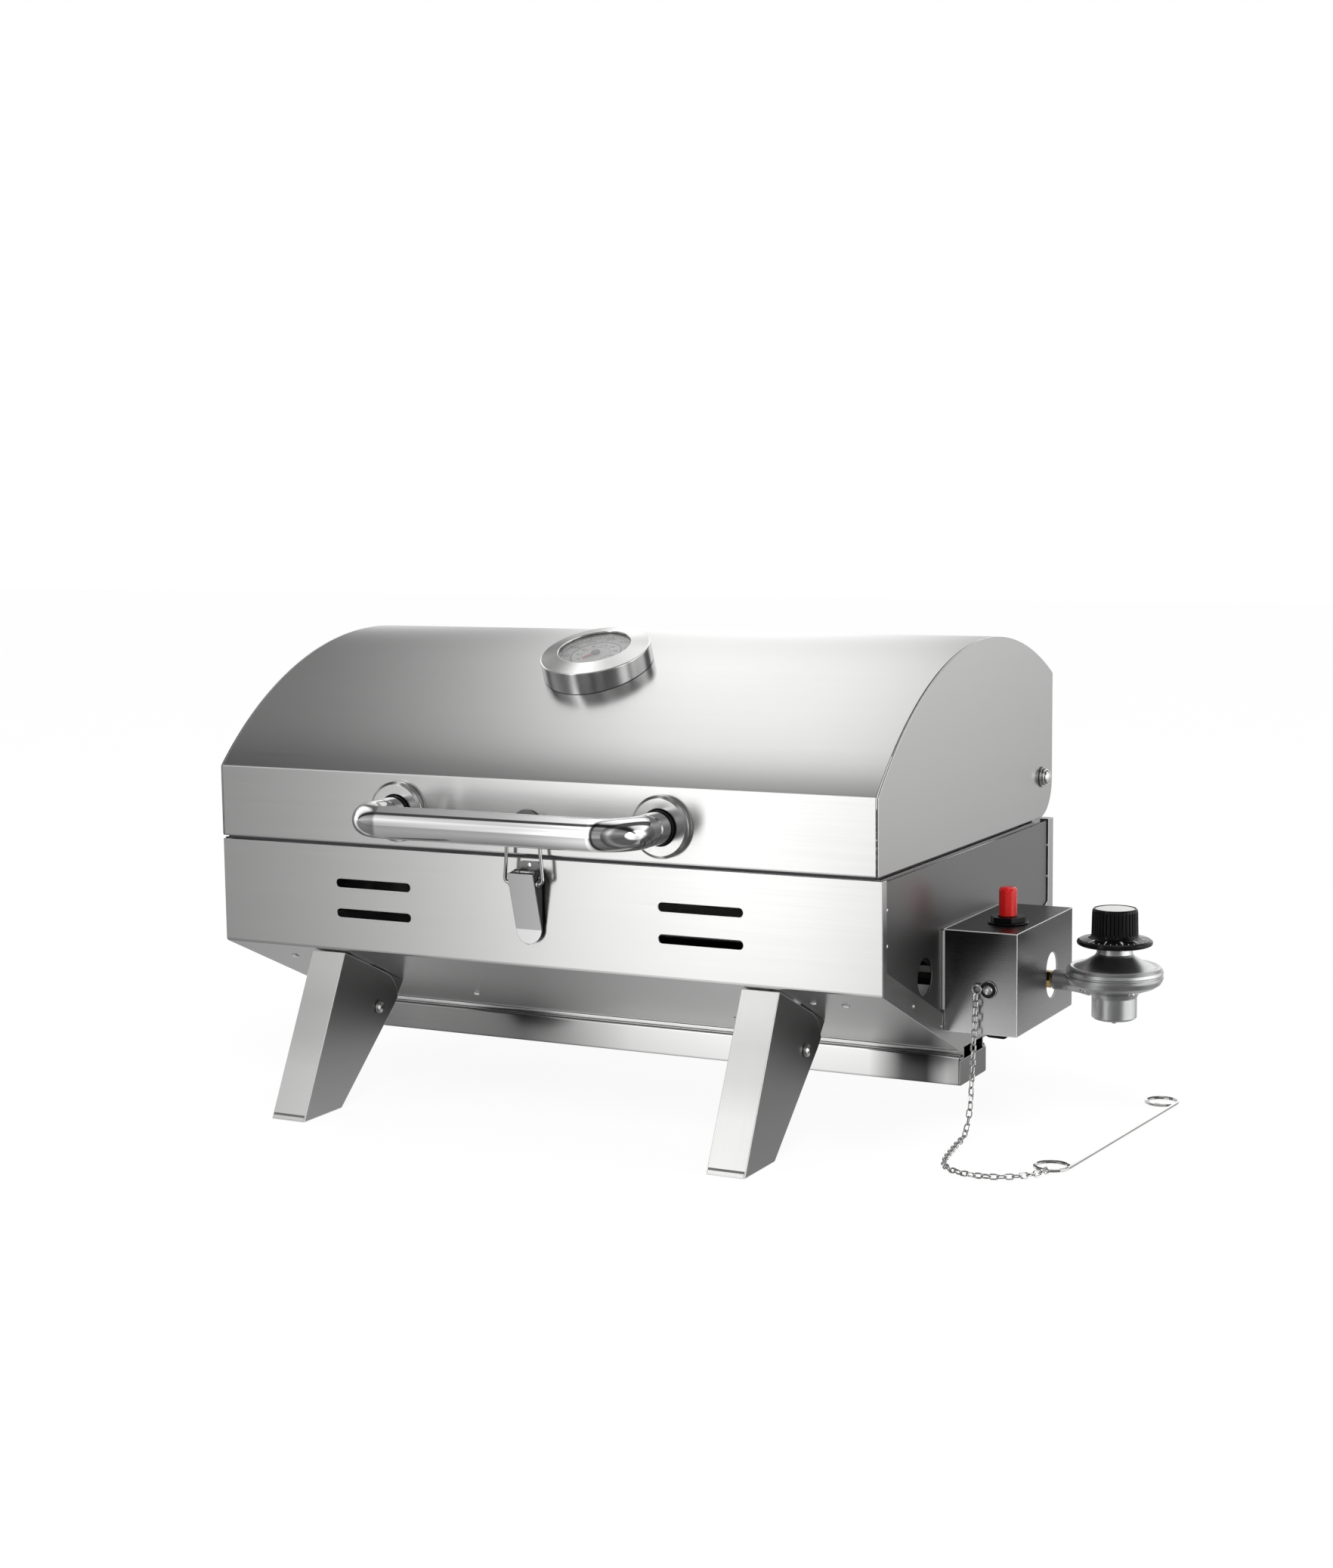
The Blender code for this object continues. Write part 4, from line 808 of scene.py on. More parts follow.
def make_thermometer():
    profile = [(5, 0.8), (41.5, 0.8), (41.5, -5.0), (43, -5.0), (43, 14.2), (28.4, 17.4),
               (28.4, 15.9), (34.2, 15.9), (34.2, 8.7), (31.5, 8.7), (31.5, 3.2), (5, 3.2)]
    soft = [0, 0, 0, 0, 1.1, 0.6, 0.2, 0.2, 0, 0, 0, 0]
    housing = turned(soften(profile, soft), sides=128)
    middle = 90 + degrees(DIAL_TILT)
    crown = arc((ARCH_Y, ARCH_Z), ARCH_RADIUS + 0.35, middle + 10, middle - 10, 60)
    base = arc((ARCH_Y, ARCH_Z), ARCH_RADIUS - 15, middle - 10, middle + 10, 2)
    housing = combined(on_dial(housing), prism(crown + base, -60.0, 60.0))
    piece = add_piece("dial_housing", housing, "satin", "lid", "thermometer_housing")
    axis = Vector((0, -sin(DIAL_TILT), cos(DIAL_TILT)))
    heart = CENTRE + DIAL_CENTRE * MM

    def on_wall(face):
        arm = face.center - heart
        return (arm - axis * arm.dot(axis)).length > 36 * MM and abs(face.normal.dot(axis)) < 0.4

    # the side wall takes the darker copy of the housing's steel: painted shade
    paint_faces(piece, "wall", 1, on_wall)
    face = collar(1.9, DIAL_RADIUS, 9.0, DIAL_HEIGHT, sides=96)
    add_piece("dial_face", on_dial(face), "dial", "lid", "thermometer_dial")
    glass = collar(0, DIAL_RADIUS, 13.9, 15.5, sides=96, soft=0.3)
    add_piece("dial_glass", on_dial(glass), "glass", "lid", "thermometer_glass")
    low = DIAL_HEIGHT + 0.05
    shoulder = turned([(32.0, low), (34.0, low), (34.0, 13.7), (33.3, 13.7)], sides=96)
    add_piece("dial_shoulder", on_dial(shoulder), "paper", "lid")


def text_shape(text, size, thickness, weight):
    """Flat raised lettering about the origin, lying in XY."""
    curve = bpy.data.curves.new("text", "FONT")
    curve.body = text
    curve.size = size
    curve.align_x = "CENTER"
    curve.align_y = "CENTER"
    curve.extrude = thickness / 2
    curve.offset = weight
    curve.resolution_u = 4
    shape = finished_shape(linked("text", curve))
    bpy.data.curves.remove(curve)
    bmesh.ops.remove_doubles(shape, verts=shape.verts, dist=0.001)
    return shape


def make_dial_print():
    """A generic scale: marks, numbers and rings, raised a little off the dial."""
    low, high = DIAL_HEIGHT - 0.05, DIAL_HEIGHT + 0.12
    sweep = (DIAL_START - DIAL_SWEEP, DIAL_START)
    middle = on_dial(collar(1.9, 18.6, low, high, sides=72))
    add_piece("dial_middle", middle, "paper", "lid")
    dark = []
    for inner, outer, base, top in ((19.3, 20.4, low, high), (28.0, 29.0, low, high),
                                    (11.0, 11.3, high - 0.05, high + 0.1)):
        outline = arc((0, 0), outer, *sweep, 72) + arc((0, 0), inner, *sweep[::-1], 72)
        dark.append(prism(outline, base, top, "Z"))
    marks, numbers = 40, 9
    for k in range(marks + 1):
        reach, width = (29.0, 0.5) if k % 5 == 0 else (29.8, 0.25)
        tick = box((reach, 31.9), (-width, width), (low, high))
        dark.append(moved(tick, turn(DIAL_START - DIAL_SWEEP * k / marks)))
    for k in range(numbers):
        angle = radians(DIAL_START - DIAL_SWEEP * k / (numbers - 1))
        for reach, number, size, weight, height in ((25.2, 50 * k + 50, 5.0, 0.1, DIAL_HEIGHT),
                                                    (14.6, 25 * k + 10, 3.2, 0.06, high)):
            place = shift(reach * cos(angle), reach * sin(angle), height + 0.03)
            dark.append(moved(text_shape(str(number), size, 0.17, weight), place))
    add_piece("dial_scale", on_dial(together(dark)), "print", "lid")


def make_needle():
    length, tail = 12.5, 3.2
    half = [(-tail, -1.1), (-2.5, -1.5), (0, -2.6), (2.5, -1.5), (length, -0.45)]
    outline = half + [(x, -y) for x, y in half[::-1]]
    blade = moved(prism(soften(outline, 0.8, 4), 11.0, 12.0, "Z"), turn(NEEDLE_HEADING))
    add_piece("needle_blade", on_dial(blade), "needle", "needle", "thermometer_needle", 0.12)
    hub = turned([(0, 3.6), (1.2, 3.6), (1.2, 10.8), (3.6, 10.8)] + dome(3.6, 12.0, 1.1, 18)
                 + [(0, 13.1)], sides=32)
    add_piece("needle_hub", on_dial(hub), "black", "needle")


# ---------------------------------------------------------------- latch

def make_latch():
    wall = -HALF_DEPTH - GAP
    base = prism(soften([(-9.1, 148.0), (9.1, 148.0), (9.1, 203.0), (-9.1, 203.0)], 3.0),
                 wall - 1.2, wall, "Y")
    ear = soften([(wall - 0.6, 184), (-190.5, 188.9), (-193.2, 191), (-193.5, 194.8),
                  (-192.0, 197.2), (-189.8, 197.8), (-187.4, 197.0), (wall - 0.6, 195.5)], 1.5)
    knuckle = collar(1.6, 2.7, -7.4, 7.4, (0, *LEVER_PIVOT), (1, 0, 0), 28, 0.25)
    mount = [base, prism(ear, 7.9, 9.1), prism(ear, -9.1, -7.9), knuckle]
    # the mount takes the darker copy of the steel: painted shade
    add_piece("latch_mount", together(mount), "side", "root", "latch_base", bevel=0.2)
    pins = [rod(radius, (-end, *spot), (end, *spot), 20, 0.3)
            for radius, end, spot in ((1.5, 12.0, LEVER_PIVOT), (1.2, 9.9, SPRING_PIN))]
    rivets = [rivet((0, wall - 1.2, z), (0, -1, 0), 2.0, height)
              for z, height in ((200.2, 0.15), (151.2, 0.8))]
    coils = [collar(1.2, 2.3, -0.5, 0.5, (side * (4.9 + 1.1 * k), *SPRING_PIN), (1, 0, 0), 28, 0.4)
             for side in (-1, 1) for k in range(3)]
    add_piece("latch_pins", together(pins + rivets + coils), "bolt", "root")
    make_lever()

    low, high = BAIL_PIVOT, (-193.5, 236.0)
    half = [(9.6, *low), (16.2, *low), (12.4, *high)]
    corners = half + [(-x, y, z) for x, y, z in half[::-1]]
    bail = swept(soften(corners, 3.2, 10, closed=False), 1.35, 24)
    add_piece("bail_wire", bail, "bolt", "latch_bail", "latch_bail")

    back = LID_FRONT - GAP
    plate = [(-13, 222), (13, 222), (13, 229)] + arc((0, 229), 13, 0, 180, 24)[1:-1] + [(-13, 229)]
    hook = strip(soften([(back - 0.7, 229.5), (back - 4.0, 231.0), (back - 4.2, 238.0)], 1.5,
                        closed=False), 1.2)
    keeper = [prism(soften(plate, 2.0), back - 1.4, back, "Y"), prism(hook, -8.0, 8.0)]
    # the keeper takes the darker copy of the steel: painted shade
    add_piece("keeper_plate", together(keeper), "side", "lid", "latch_keeper", bevel=0.2)


def make_lever():
    """The lever is a plate with a flared round tip, and cheeks that reach back to the pins."""
    half, fold, low = LEVER_HALF, LEVER_FOLD, 138.0
    path = [(-187.4, 141.0), (-187.0, fold), (-198.9, 195.4)]
    plate = prism(strip(soften(path, 1.0, 4, closed=False), -1.2), -half, half)
    right = arc((0, fold), half, -90, 0, 18) + [(14.5, fold), (14.5, low), (0, low)]
    left = [(-x, z) for x, z in right]
    trims = together([prism(right, -205.0, -180.0, "Y"), prism(left, -205.0, -180.0, "Y")])
    add_piece("lever_plate", combined(plate, trims), "lever", "latch_lever", "latch_lever",
              bevel=0.3)
    cheek = soften([(-186.9, 154.0), (-185.9, 172.0), (-186.6, 195.0), (-189.0, 196.5),
                    (-198.3, 195.0)], 1.0, 4)
    cheeks = [prism(cheek, half - 1.3, half - 0.1), prism(cheek, 0.1 - half, 1.3 - half)]
    holes = [rod(1.9, (-16, *spot), (16, *spot), 24) for spot in (LEVER_PIVOT, BAIL_PIVOT)]
    # the lever's cheeks take the darker copy of the steel: painted shade
    add_piece("lever_cheeks", combined(together(cheeks), together(holes)), "cheek",
              "latch_lever", bevel=0.2)
    eyes = [collar(1.45, 2.8, half + 0.1, half + 1.6, (0, *BAIL_PIVOT), (side, 0, 0), 24, 0.3)
            for side in (-1, 1)]
    add_piece("lever_eyes", together(eyes), "bolt", "latch_lever")


# ---------------------------------------------------------------- legs and tray

def on_slope(along, out):
    """A point by the front leg's pivot: along the slope to the middle, and out to it."""
    return (LEG_PIVOT_Y + along * cos(SLOPE) + out * sin(SLOPE),
            LEG_PIVOT_Z - along * sin(SLOPE) + out * cos(SLOPE))


def mirrored(outline, side):
    """The front outline for side -1, and its mirror image at the back for side 1."""
    return outline if side < 0 else [(-y, z) for y, z in reversed(outline)]


def leg_outline():
    corner_angle = degrees(atan2(LEG_CORNER[1], LEG_CORNER[0]))
    top = arc((0, 0), LEG_TOP, 90, corner_angle, 24)
    rim = [(LEG_TOP_START, LEG_TOP)] + top + [LEG_HEEL]
    return [on_slope(*p) for p in rim] + [(FOOT_REAR, 0.0), (FOOT_FRONT, 0.0)]


def make_leg(label, x, side):
    """A channel of bent sheet: a web in front and a cheek on each side, closed at the foot."""
    body = f"leg_{label}"
    outline = leg_outline()
    foot, top = Vector(outline[-1]), Vector(outline[0])
    web = (top - foot).normalized()
    inward = Vector((web.y, -web.x))
    inner_foot = foot + inward * LEG_WALL
    sole = inner_foot + web * (LEG_WALL / web.y)
    crown = inner_foot + web * 180
    hollow = [tuple(sole), (-60.0, LEG_WALL), (-60.0, crown.y), tuple(crown)]
    channel = combined(prism(mirrored(outline, side), x, x + LEG_WIDTH),
                       prism(mirrored(hollow, side), x + LEG_WALL, x + LEG_WIDTH - LEG_WALL))
    pivot = (LEG_PIVOT_Y * -side, LEG_PIVOT_Z)
    channel = combined(channel, rod(3.4, (x - 3, *pivot), (x + LEG_WIDTH + 3, *pivot), 24))
    # the leg's colour holds painted light and shade along its height, and its bevels a painted highlight
    piece = add_piece(f"channel_{label}", channel, "leg", body, body, bevel=0.8, segments=4,
                      edge="edge")
    # the leg's side faces take the darker copy of the steel: painted shade
    paint_faces(piece, "cheek", 2, lambda face: abs(face.normal.x) > 0.7)

    # the second strip is dark: painted shade in the groove above the foot lip
    for name, (low_z, high_z), proud, look in (("foot_lip", (0.9, 3.2), 0.4, "ring"),
                                               ("foot_groove_painted_shade", (3.2, 4.7), 0.15, "seam")):
        outer = [foot + web * (h / web.y) - inward * proud for h in (low_z, high_z)]
        inner = [p + inward * 0.9 for p in outer]
        corners = [tuple(p) for p in (outer[0], outer[1], inner[1], inner[0])]
        lip = prism(mirrored(corners, side), x + 0.9, x + LEG_WIDTH - 0.9)
        add_piece(f"{name}_{label}", lip, look, body, bevel=0.2)


def make_leg_bolt(label, x, side):
    """A bolt through the leg and its bracket, with a cross recess in its domed head."""
    near, far = x - GAP, x + LEG_WIDTH + GAP
    head = [(0, near - 3.2), (5.0, near - 3.2), (5.0, near), (3.0, near), (3.0, far), (5.6, far),
            (5.6, far + 0.8), (4.7, far + 0.8)] + dome(4.7, far + 1.0, 2.1, 15) + [(0, far + 3.1)]
    centre = (0, LEG_PIVOT_Y * -side, LEG_PIVOT_Z)
    arm, half = 3.1, 0.55
    plus = [(arm, -half), (arm, half), (half, half), (half, arm), (-half, arm), (-half, half),
            (-arm, half), (-arm, -half), (-half, -half), (-half, -arm), (half, -arm), (half, -half)]
    recess = moved(prism(plus, far + 1.7, far + 4.2), shift(*centre) @ turn(25, "X"))
    bolt = combined(turned(head, centre, (1, 0, 0), 40), recess)
    add_piece(f"pivot_bolt_{label}", bolt, "bolt", "root", f"leg_bolt_{label}")


def make_tray():
    outer, lip, end = TRAY_HALF, TRAY_HALF - 5.5, 279.0
    section = [(-lip, TRAY_HIGH), (-outer, TRAY_HIGH), (-outer, TRAY_LOW), (outer, TRAY_LOW),
               (outer, TRAY_HIGH), (lip, TRAY_HIGH)]
    trough = prism(strip(soften(section, 1.8, closed=False)), -end + 1.2, end - 1.2)
    face = soften([(-outer, TRAY_LOW), (outer, TRAY_LOW), (outer, TRAY_END_HIGH),
                   (-outer, TRAY_END_HIGH)], [1.8, 1.8, 0.6, 0.6], 4)
    ends = [prism(face, *sorted((side * 277.9, side * end))) for side in (-1, 1)]
    # the tray's colour holds painted reflections in bands along X
    add_piece("tray_trough", together([trough, *ends]), "tray", "tray", "grease_tray",
              bevel=0.35)
    path = soften([(-34.0, 55.4), (-20.0, 55.4), (-20.0, 47.0), (-26.5, 47.0)], 1.4, 4,
                  closed=False)
    for side, name in ((-1, "front"), (1, "rear")):
        rail = prism(mirrored(strip(path, -1.2), side), -end, end)
        add_piece(f"rail_{name}", rail, "steel", "root", f"tray_rail_{name}", bevel=0.25)


# ---------------------------------------------------------------- gas side

def make_valve_box():
    """A folded cover on the right end, open behind and below."""
    (x0, x1), (y0, y1), (z0, z1) = BOX_X, BOX_Y, BOX_Z
    inner = box((x0 + BOX_WALL, x1 - BOX_WALL), (y0 + BOX_WALL, y1 + 5), (z0 - 5, z1 - BOX_WALL))
    window = box((x0 - 1, x0 + 3), (y0 + 12, y1 + 4), (z0 - 4, z1 - 12))
    oval = [(13.2 + y, z) for y, z in
            arc((0, 113.8), 12.5, 0, 180, 28) + arc((0, 104.8), 12.5, 180, 360, 28)]
    holes = [prism(oval, x1 - 5, x1 + 5),
             rod(7.8, (IGNITER_X, IGNITER_Y, z1 - 5), (IGNITER_X, IGNITER_Y, z1 + 5)),
             rod(2.9, (SCREW_X, y0 - 5, SCREW_Z), (SCREW_X, y0 + 5, SCREW_Z), 20)]
    cover = combined(box(BOX_X, BOX_Y, BOX_Z), inner, window, together(holes))
    across = (PANEL_OUTER + 0.2, x0 + 0.3)
    painted_light_strips = [box(across, (y0, y0 + BOX_WALL), (z0 + 16, z1)),
            box(across, (y0, y1), (z1 - BOX_WALL, z1))]
    # the cover's colour holds painted shade, darker towards the top, and its bevels a painted highlight
    add_piece("valve_cover", cover, "cover", "root", "valve_box", bevel=0.55, segments=4,
              edge="edge")
    # bright strips at the cover's front and top edges: painted highlight
    add_piece("cover_painted_light_strips", together(painted_light_strips), "edge", "root", bevel=0.2)


def make_igniter():
    top = BOX_Z[1] + GAP
    centre = (IGNITER_X, IGNITER_Y, 0)
    shell = [(0, 73), (5.5, 73), (5.5, 80), (7.2, 82), (7.2, top - 0.3), (7.7, top + 0.2),
             (7.7, top + 5.6), (7.1, top + 5.6), (7.1, 139), (0, 139)]
    add_piece("igniter_barrel", turned(shell, centre, UP, 48, 0.3), "black", "root",
              "igniter_body")
    outline = [(IGNITER_X + x, IGNITER_Y + y) for x, y in arc((0, 0), 13.6, 0, 300, 5)]
    bore = rod(7.8, (IGNITER_X, IGNITER_Y, top - 3), (IGNITER_X, IGNITER_Y, top + 9), 40)
    nut = combined(prism(soften(outline, 1.2, 4), top + 1.2, top + 5.0, "Z"), bore)
    flange = collar(7.8, 15.0, top, top + 1.0, centre, UP, 56, 0.3)
    add_piece("igniter_hex", together([nut, flange]), "black", "root", "igniter_nut", bevel=0.4)
    button = [(0, 148.5), (6.7, 148.5), (6.7, 177.6), (6.0, 179.3), (4.6, 180.0), (0, 180.1)]
    add_piece("button_cap", turned(button, centre, UP, 48, 0.5, 4), "red", "igniter_button",
              "igniter_button")


def make_regulator():
    """A two-part casting with a rolled rim, an inlet boss and a threaded neck under it."""
    centre = (REGULATOR_X, GAS_Y, 0)
    inlet = (0, GAS_Y, GAS_Z), (1, 0, 0)
    rim = REGULATOR_RADIUS
    profile = [(0, 99), (12.8, 99), (12.8, 80.3), (14.6, 80.3), (16.65, 81.8), (16.65, 97.0),
               (18.4, 100.4), (24, 102.8), (30.2, 105.0), (34.0, 107.6), (rim - 0.2, 111.2),
               (rim, 113.2), (rim - 0.7, 114.0), (rim - 0.7, 114.6), (rim, 115.4),
               (rim - 0.5, 117.6), (34.0, 119.6), (32.4, 120.4), (31.0, 119.9), (30.2, 119.5),
               (22, 123.2), (14.6, 127.8), (13.4, 129.6), (12.6, 136.2), (4.6, 136.2),
               (4.6, 121), (0, 121)]
    radii = [0, 0, 0, 0.4, 0.8, 2.5, 2.5, 2, 2, 2, 1, 0.5, 0.3, 0.3, 0.5, 1, 1, 0.6, 0.4, 1,
             3, 3, 1, 0.6, 0.4, 0, 0]
    body = turned(soften(profile, radii, 4, least=8), centre, UP, 96)
    boss = [(0, 337.2), (6.4, 337.2), (7.5, 338.4), (7.6, 351.0), (8.4, 358.0), (10.0, 366.0),
            (0, 366.0)]
    boss = turned(soften(boss, [0, 0.4, 0.8, 3, 3, 0, 0], 4, least=6), *inlet, 48)
    add_piece("regulator_casting", combined(body, boss, operation="UNION"), "cast", "root",
              "regulator_body")
    pin = [(0, 76.7), (1.6, 76.7), (2.0, 77.4), (2.0, 100), (0, 100)]
    screws = [turned(pin, centre, UP, 24)]
    for k in range(4):
        a = radians(45 + 90 * k)
        spot = (REGULATOR_X + 25.5 * cos(a), GAS_Y + 25.5 * sin(a), 103.6)
        screws.append(turned([(0, -1.2), (2.6, -1.2), (2.6, 1.4), (1.9, 2.0), (0, 2.0)], spot,
                             (0.35 * cos(a), 0.35 * sin(a), -1), 24, 0.2))
    add_piece("regulator_screws", together(screws), "bolt", "root")

    hexes = [(6.9 * cos(radians(a)), 6.9 * sin(radians(a))) for a in range(0, 360, 60)]
    nut = prism(soften([(GAS_Y + y, GAS_Z + z) for y, z in hexes], 0.5, 3), 329.4, 336.8)
    tube = [(0, 287), (3.0, 287), (3.6, 289), (3.6, 326), (6.0, 327), (6.0, 337.0), (5.2, 338.3),
            (5.2, 345.0), (0, 345.0)]
    nipple = together([nut, turned(tube, *inlet, 40, 0.3)])
    add_piece("brass_nipple", nipple, "brass", "root", "gas_fitting", bevel=0.25)


def make_knob():
    """A black knob: a dished skirt with marks, a ribbed grip and a pale metal cap."""
    centre = (REGULATOR_X, GAS_Y, 0)
    core = [(0, 122.5), (4.2, 122.5), (4.2, 137.2), (15.2, 137.2), (15.2, 135.7), (25.8, 135.7),
            (27.6, 136.6), (28.0, 138.0), (27.6, 139.2), (26.0, 140.2), (20, 141.4),
            (17.8, 142.6), (16.6, 145.0), (0, 145.0)]
    ribs, around = 36, 10
    rings = []
    for height, radius, depth in ((142.5, 16.6, 0.0), (144.0, 17.3, 0.6), (146.5, 17.2, 0.9),
                                  (159.5, 16.9, 0.9), (160.8, 16.8, 0.6), (161.6, 16.7, 0.0),
                                  (162.6, 16.4, 0.0), (163.2, 15.8, 0.0), (163.3, 15.2, 0.0),
                                  (162.4, 14.9, 0.0)):
        ring = []
        for k in range(ribs * around):
            wave = 0.5 - 0.5 * cos(2 * pi * k / around)
            reach = radius - depth * wave ** 3
            angle = 2 * pi * k / (ribs * around)
            ring.append((centre[0] + reach * cos(angle), centre[1] + reach * sin(angle), height))
        rings.append(ring)
    grip = together([turned(core, centre, UP, 96, 0.5, 4), loft(rings)])
    add_piece("knob_grip", grip, "black", "regulator_knob", "regulator_knob")
    cap = [(0, 161.5), (14.8, 161.5), (14.8, 162.7), (13.6, 163.0), (0, 163.0)]
    add_piece("knob_cap", turned(cap, centre, UP, 72, 0.25), "cap", "regulator_knob")
    rise = Matrix.Rotation(atan2(1.2, 6.0), 4, "Y")
    marks = []
    for k in range(25):
        length = 2.2 if k % 3 == 0 else 1.2
        tick = moved(box((-length, 0.0), (-0.22, 0.22), (-0.1, 0.15)), rise)
        marks.append(moved(tick, shift(*centre) @ turn(-120 + 10 * k) @ shift(26.0, 0, 140.2)))
    for k in range(9):
        digit = moved(text_shape(str(k), 4.6, 0.3, 0.08), turn(90))
        marks.append(moved(digit, shift(*centre) @ turn(-120 + 30 * k)
                           @ shift(21.9, 0, 141.07) @ rise))
    add_piece("knob_marks", together(marks), "mark", "regulator_knob")


# ---------------------------------------------------------------- chain and match holder

def make_chain_screw():
    """A domed screw on a dark washer, and the small eyelet it holds for the chain."""
    front = -BOX_Y[0]
    place = (SCREW_X, 0, SCREW_Z), (0, -1, 0), 40
    head = [(0, front - 8), (2.4, front - 8), (2.4, front + 0.9), (3.7, front + 1.1)]
    head += dome(3.7, front + 1.5, 1.7, 12, 75) + [(1.5, front + 3.1), (1.5, front + 2.2),
                                                   (0, front + 2.2)]
    add_piece("screw_head", turned(head, *place), "satin", "root", "chain_screw")
    washer = collar(2.5, 6.2, front + 0.3, front + 1.0, *place, 0.2)
    add_piece("screw_washer", washer, "black", "root")
    rings = []
    for x, radius, wire, depth in ((SCREW_X, 6.3, 0.3, 0.9), (SCREW_X - 8.2, 3.4, 0.8, 2.2)):
        ring = [(x + radius * cos(a), -front - depth, SCREW_Z + radius * sin(a))
                for a in [2 * pi * k / 40 for k in range(40)]]
        rings.append(swept(ring, wire, 12, closed=True))
    add_piece("chain_eye", together(rings), "chrome", "root")


def link_shape():
    """One oval chain link along X, about the origin."""
    radius = (LINK_WIDTH - 2 * LINK_WIRE) / 2
    straight = LINK_LENGTH / 2 - LINK_WIRE - radius
    oval = (arc((straight, 0), radius, -90, 90, 9) + arc((-straight, 0), radius, 90, 270, 9))
    return swept([(x, y, 0.0) for x, y in oval], LINK_WIRE, 8, closed=True)


def make_chain():
    """Oval links along the route, each turned a quarter from the last."""
    route, length = evenly(smooth_route(CHAIN_ROUTE), LINK_PITCH)
    links = []
    for k, (a, b) in enumerate(zip(route, route[1:])):
        way = (b - a).normalized()
        side = way.cross(Vector((0.3, 0.2, 1.0)))
        side = way.orthogonal() if side.length < 0.2 else side
        side.normalize()
        roll = Matrix.Rotation(radians(48 + 90 * (k % 2)), 3, "X")
        basis = Matrix((way, side, way.cross(side))).transposed() @ roll
        links.append(moved(link_shape(), Matrix.Translation((a + b) / 2) @ basis.to_4x4()))
    chain = add_piece("chain_links", together(links), "bolt", "root", "match_chain")


# ---------------------------------------------------------------- everything, light and view

def make_grill():
    for make_part in (make_chain, make_chain_screw, make_firebox, make_rivets, make_hinge_bolts,
                      make_grate, make_lid, make_handle, make_thermometer, make_dial_print,
                      make_needle, make_latch, make_tray):
        make_part()
    for side, depth in ((-1, "front"), (1, "rear")):
        for x, end in ((-LEG_X - LEG_WIDTH, "left"), (LEG_X, "right")):
            make_leg(f"{depth}_{end}", x, side)
            make_leg_bolt(f"{depth}_{end}", x, side)
            # the brackets take the darker copy of the steel: painted shade
            repaint("cheek", f"leg_bracket_{depth}_{end}")
        repaint("inner", f"grate_ledge_{depth}")
    for make_part in (make_valve_box, make_igniter, make_regulator, make_knob):
        make_part()
    for _, end in SIDES:
        repaint("inner", f"hinge_bracket_{end}", f"tamer_ledge_{end}")
        repaint("bolt", f"handle_screw_{end}")
    repaint("inner", "flame_tamer", "burner_tube", "burner_bracket")
    repaint("bolt", "thermometer_stem", "match_holder")
    repaint("ceramic", "igniter_electrode")
    repaint("black", "igniter_wire")


def make_floor():
    shape = bmesh.new()
    reach, height = 8.0, -0.0004        # metres
    corners = ((-reach, -reach), (reach, -reach), (reach, reach), (-reach, reach))
    shape.faces.new([shape.verts.new((x, y, height)) for x, y in corners])
    floor = loose_object(shape, "floor")
    material, nodes, shader = new_material("pale_floor")
    cloud = nodes.noise(nodes.place(), 1.5, 2.0, 0.5)
    nodes.put(shader.inputs["Base Color"], tinted(nodes, 0.12, 0.01, cloud))
    shader.inputs["Roughness"].default_value = 1.0
    shader.inputs["Specular IOR Level"].default_value = 0.0
    shader.inputs["Emission Color"].default_value = (1.0, 1.0, 1.0, 1.0)
    shader.inputs["Emission Strength"].default_value = 0.92
    floor.data.materials.append(material)
    floor.visible_glossy = False


# The studio round the grill is the sum of three soft sources. Each is a product of two ramps:
# one of how far a direction points to the right (-1..1), the other of its angle round the
# X axis (-180..180 degrees, 0 in front, 90 above).
LIGHT_SCALE = 3.0
# Fill: two thin strips on the left, a broad panel on the right and a bright wall at the far
# right; it is strongest a little above the horizon in front, and low at the back.
FILL_SIDE = ((-1.0, 0.45), (-0.65, 0.4), (-0.57, 1.0), (-0.5, 0.25), (-0.42, 0.85), (-0.3, 0.05),
             (0.1, 0.05), (0.27, 0.35), (0.4, 0.85), (0.55, 0.3), (0.87, 0.3), (0.92, 1.0))
FILL_ROUND = ((-180, 1.5), (-165, 0.4), (-150, 0.6), (-120, 0.33), (0, 0.27), (28, 1.05),
              (40, 0.85), (60, 0.27), (64, 0.06), (150, 0.1), (160, 0.3), (172, 1.2), (180, 1.5))
# Key: one strip on the left, a faint one in the middle and the wall at the far right, all from
# low in front to the back, with a dark flag high up that makes the band over the lid's arch.
KEY_SIDE = ((-1.0, 0.1), (-0.58, 0.04), (-0.51, 0.3), (-0.46, 0.95), (-0.37, 0.75), (-0.3, 0.02),
            (-0.24, 0.02), (-0.18, 0.15), (0.1, 0.15), (0.16, 0.02), (0.87, 0.03), (0.92, 0.9))
KEY_ROUND = ((-180, 0.8), (-165, 0.3), (-135, 0.13), (-100, 0.5), (-45, 1.25), (-18, 1.1),
             (-8, 2.8), (2, 2.6), (14, 1.9), (28, 2.0), (38, 1.1), (56, 2.2), (60, 2.0),
             (64, 0.12), (82, 0.12), (86, 1.75), (136, 1.7), (180, 0.8))
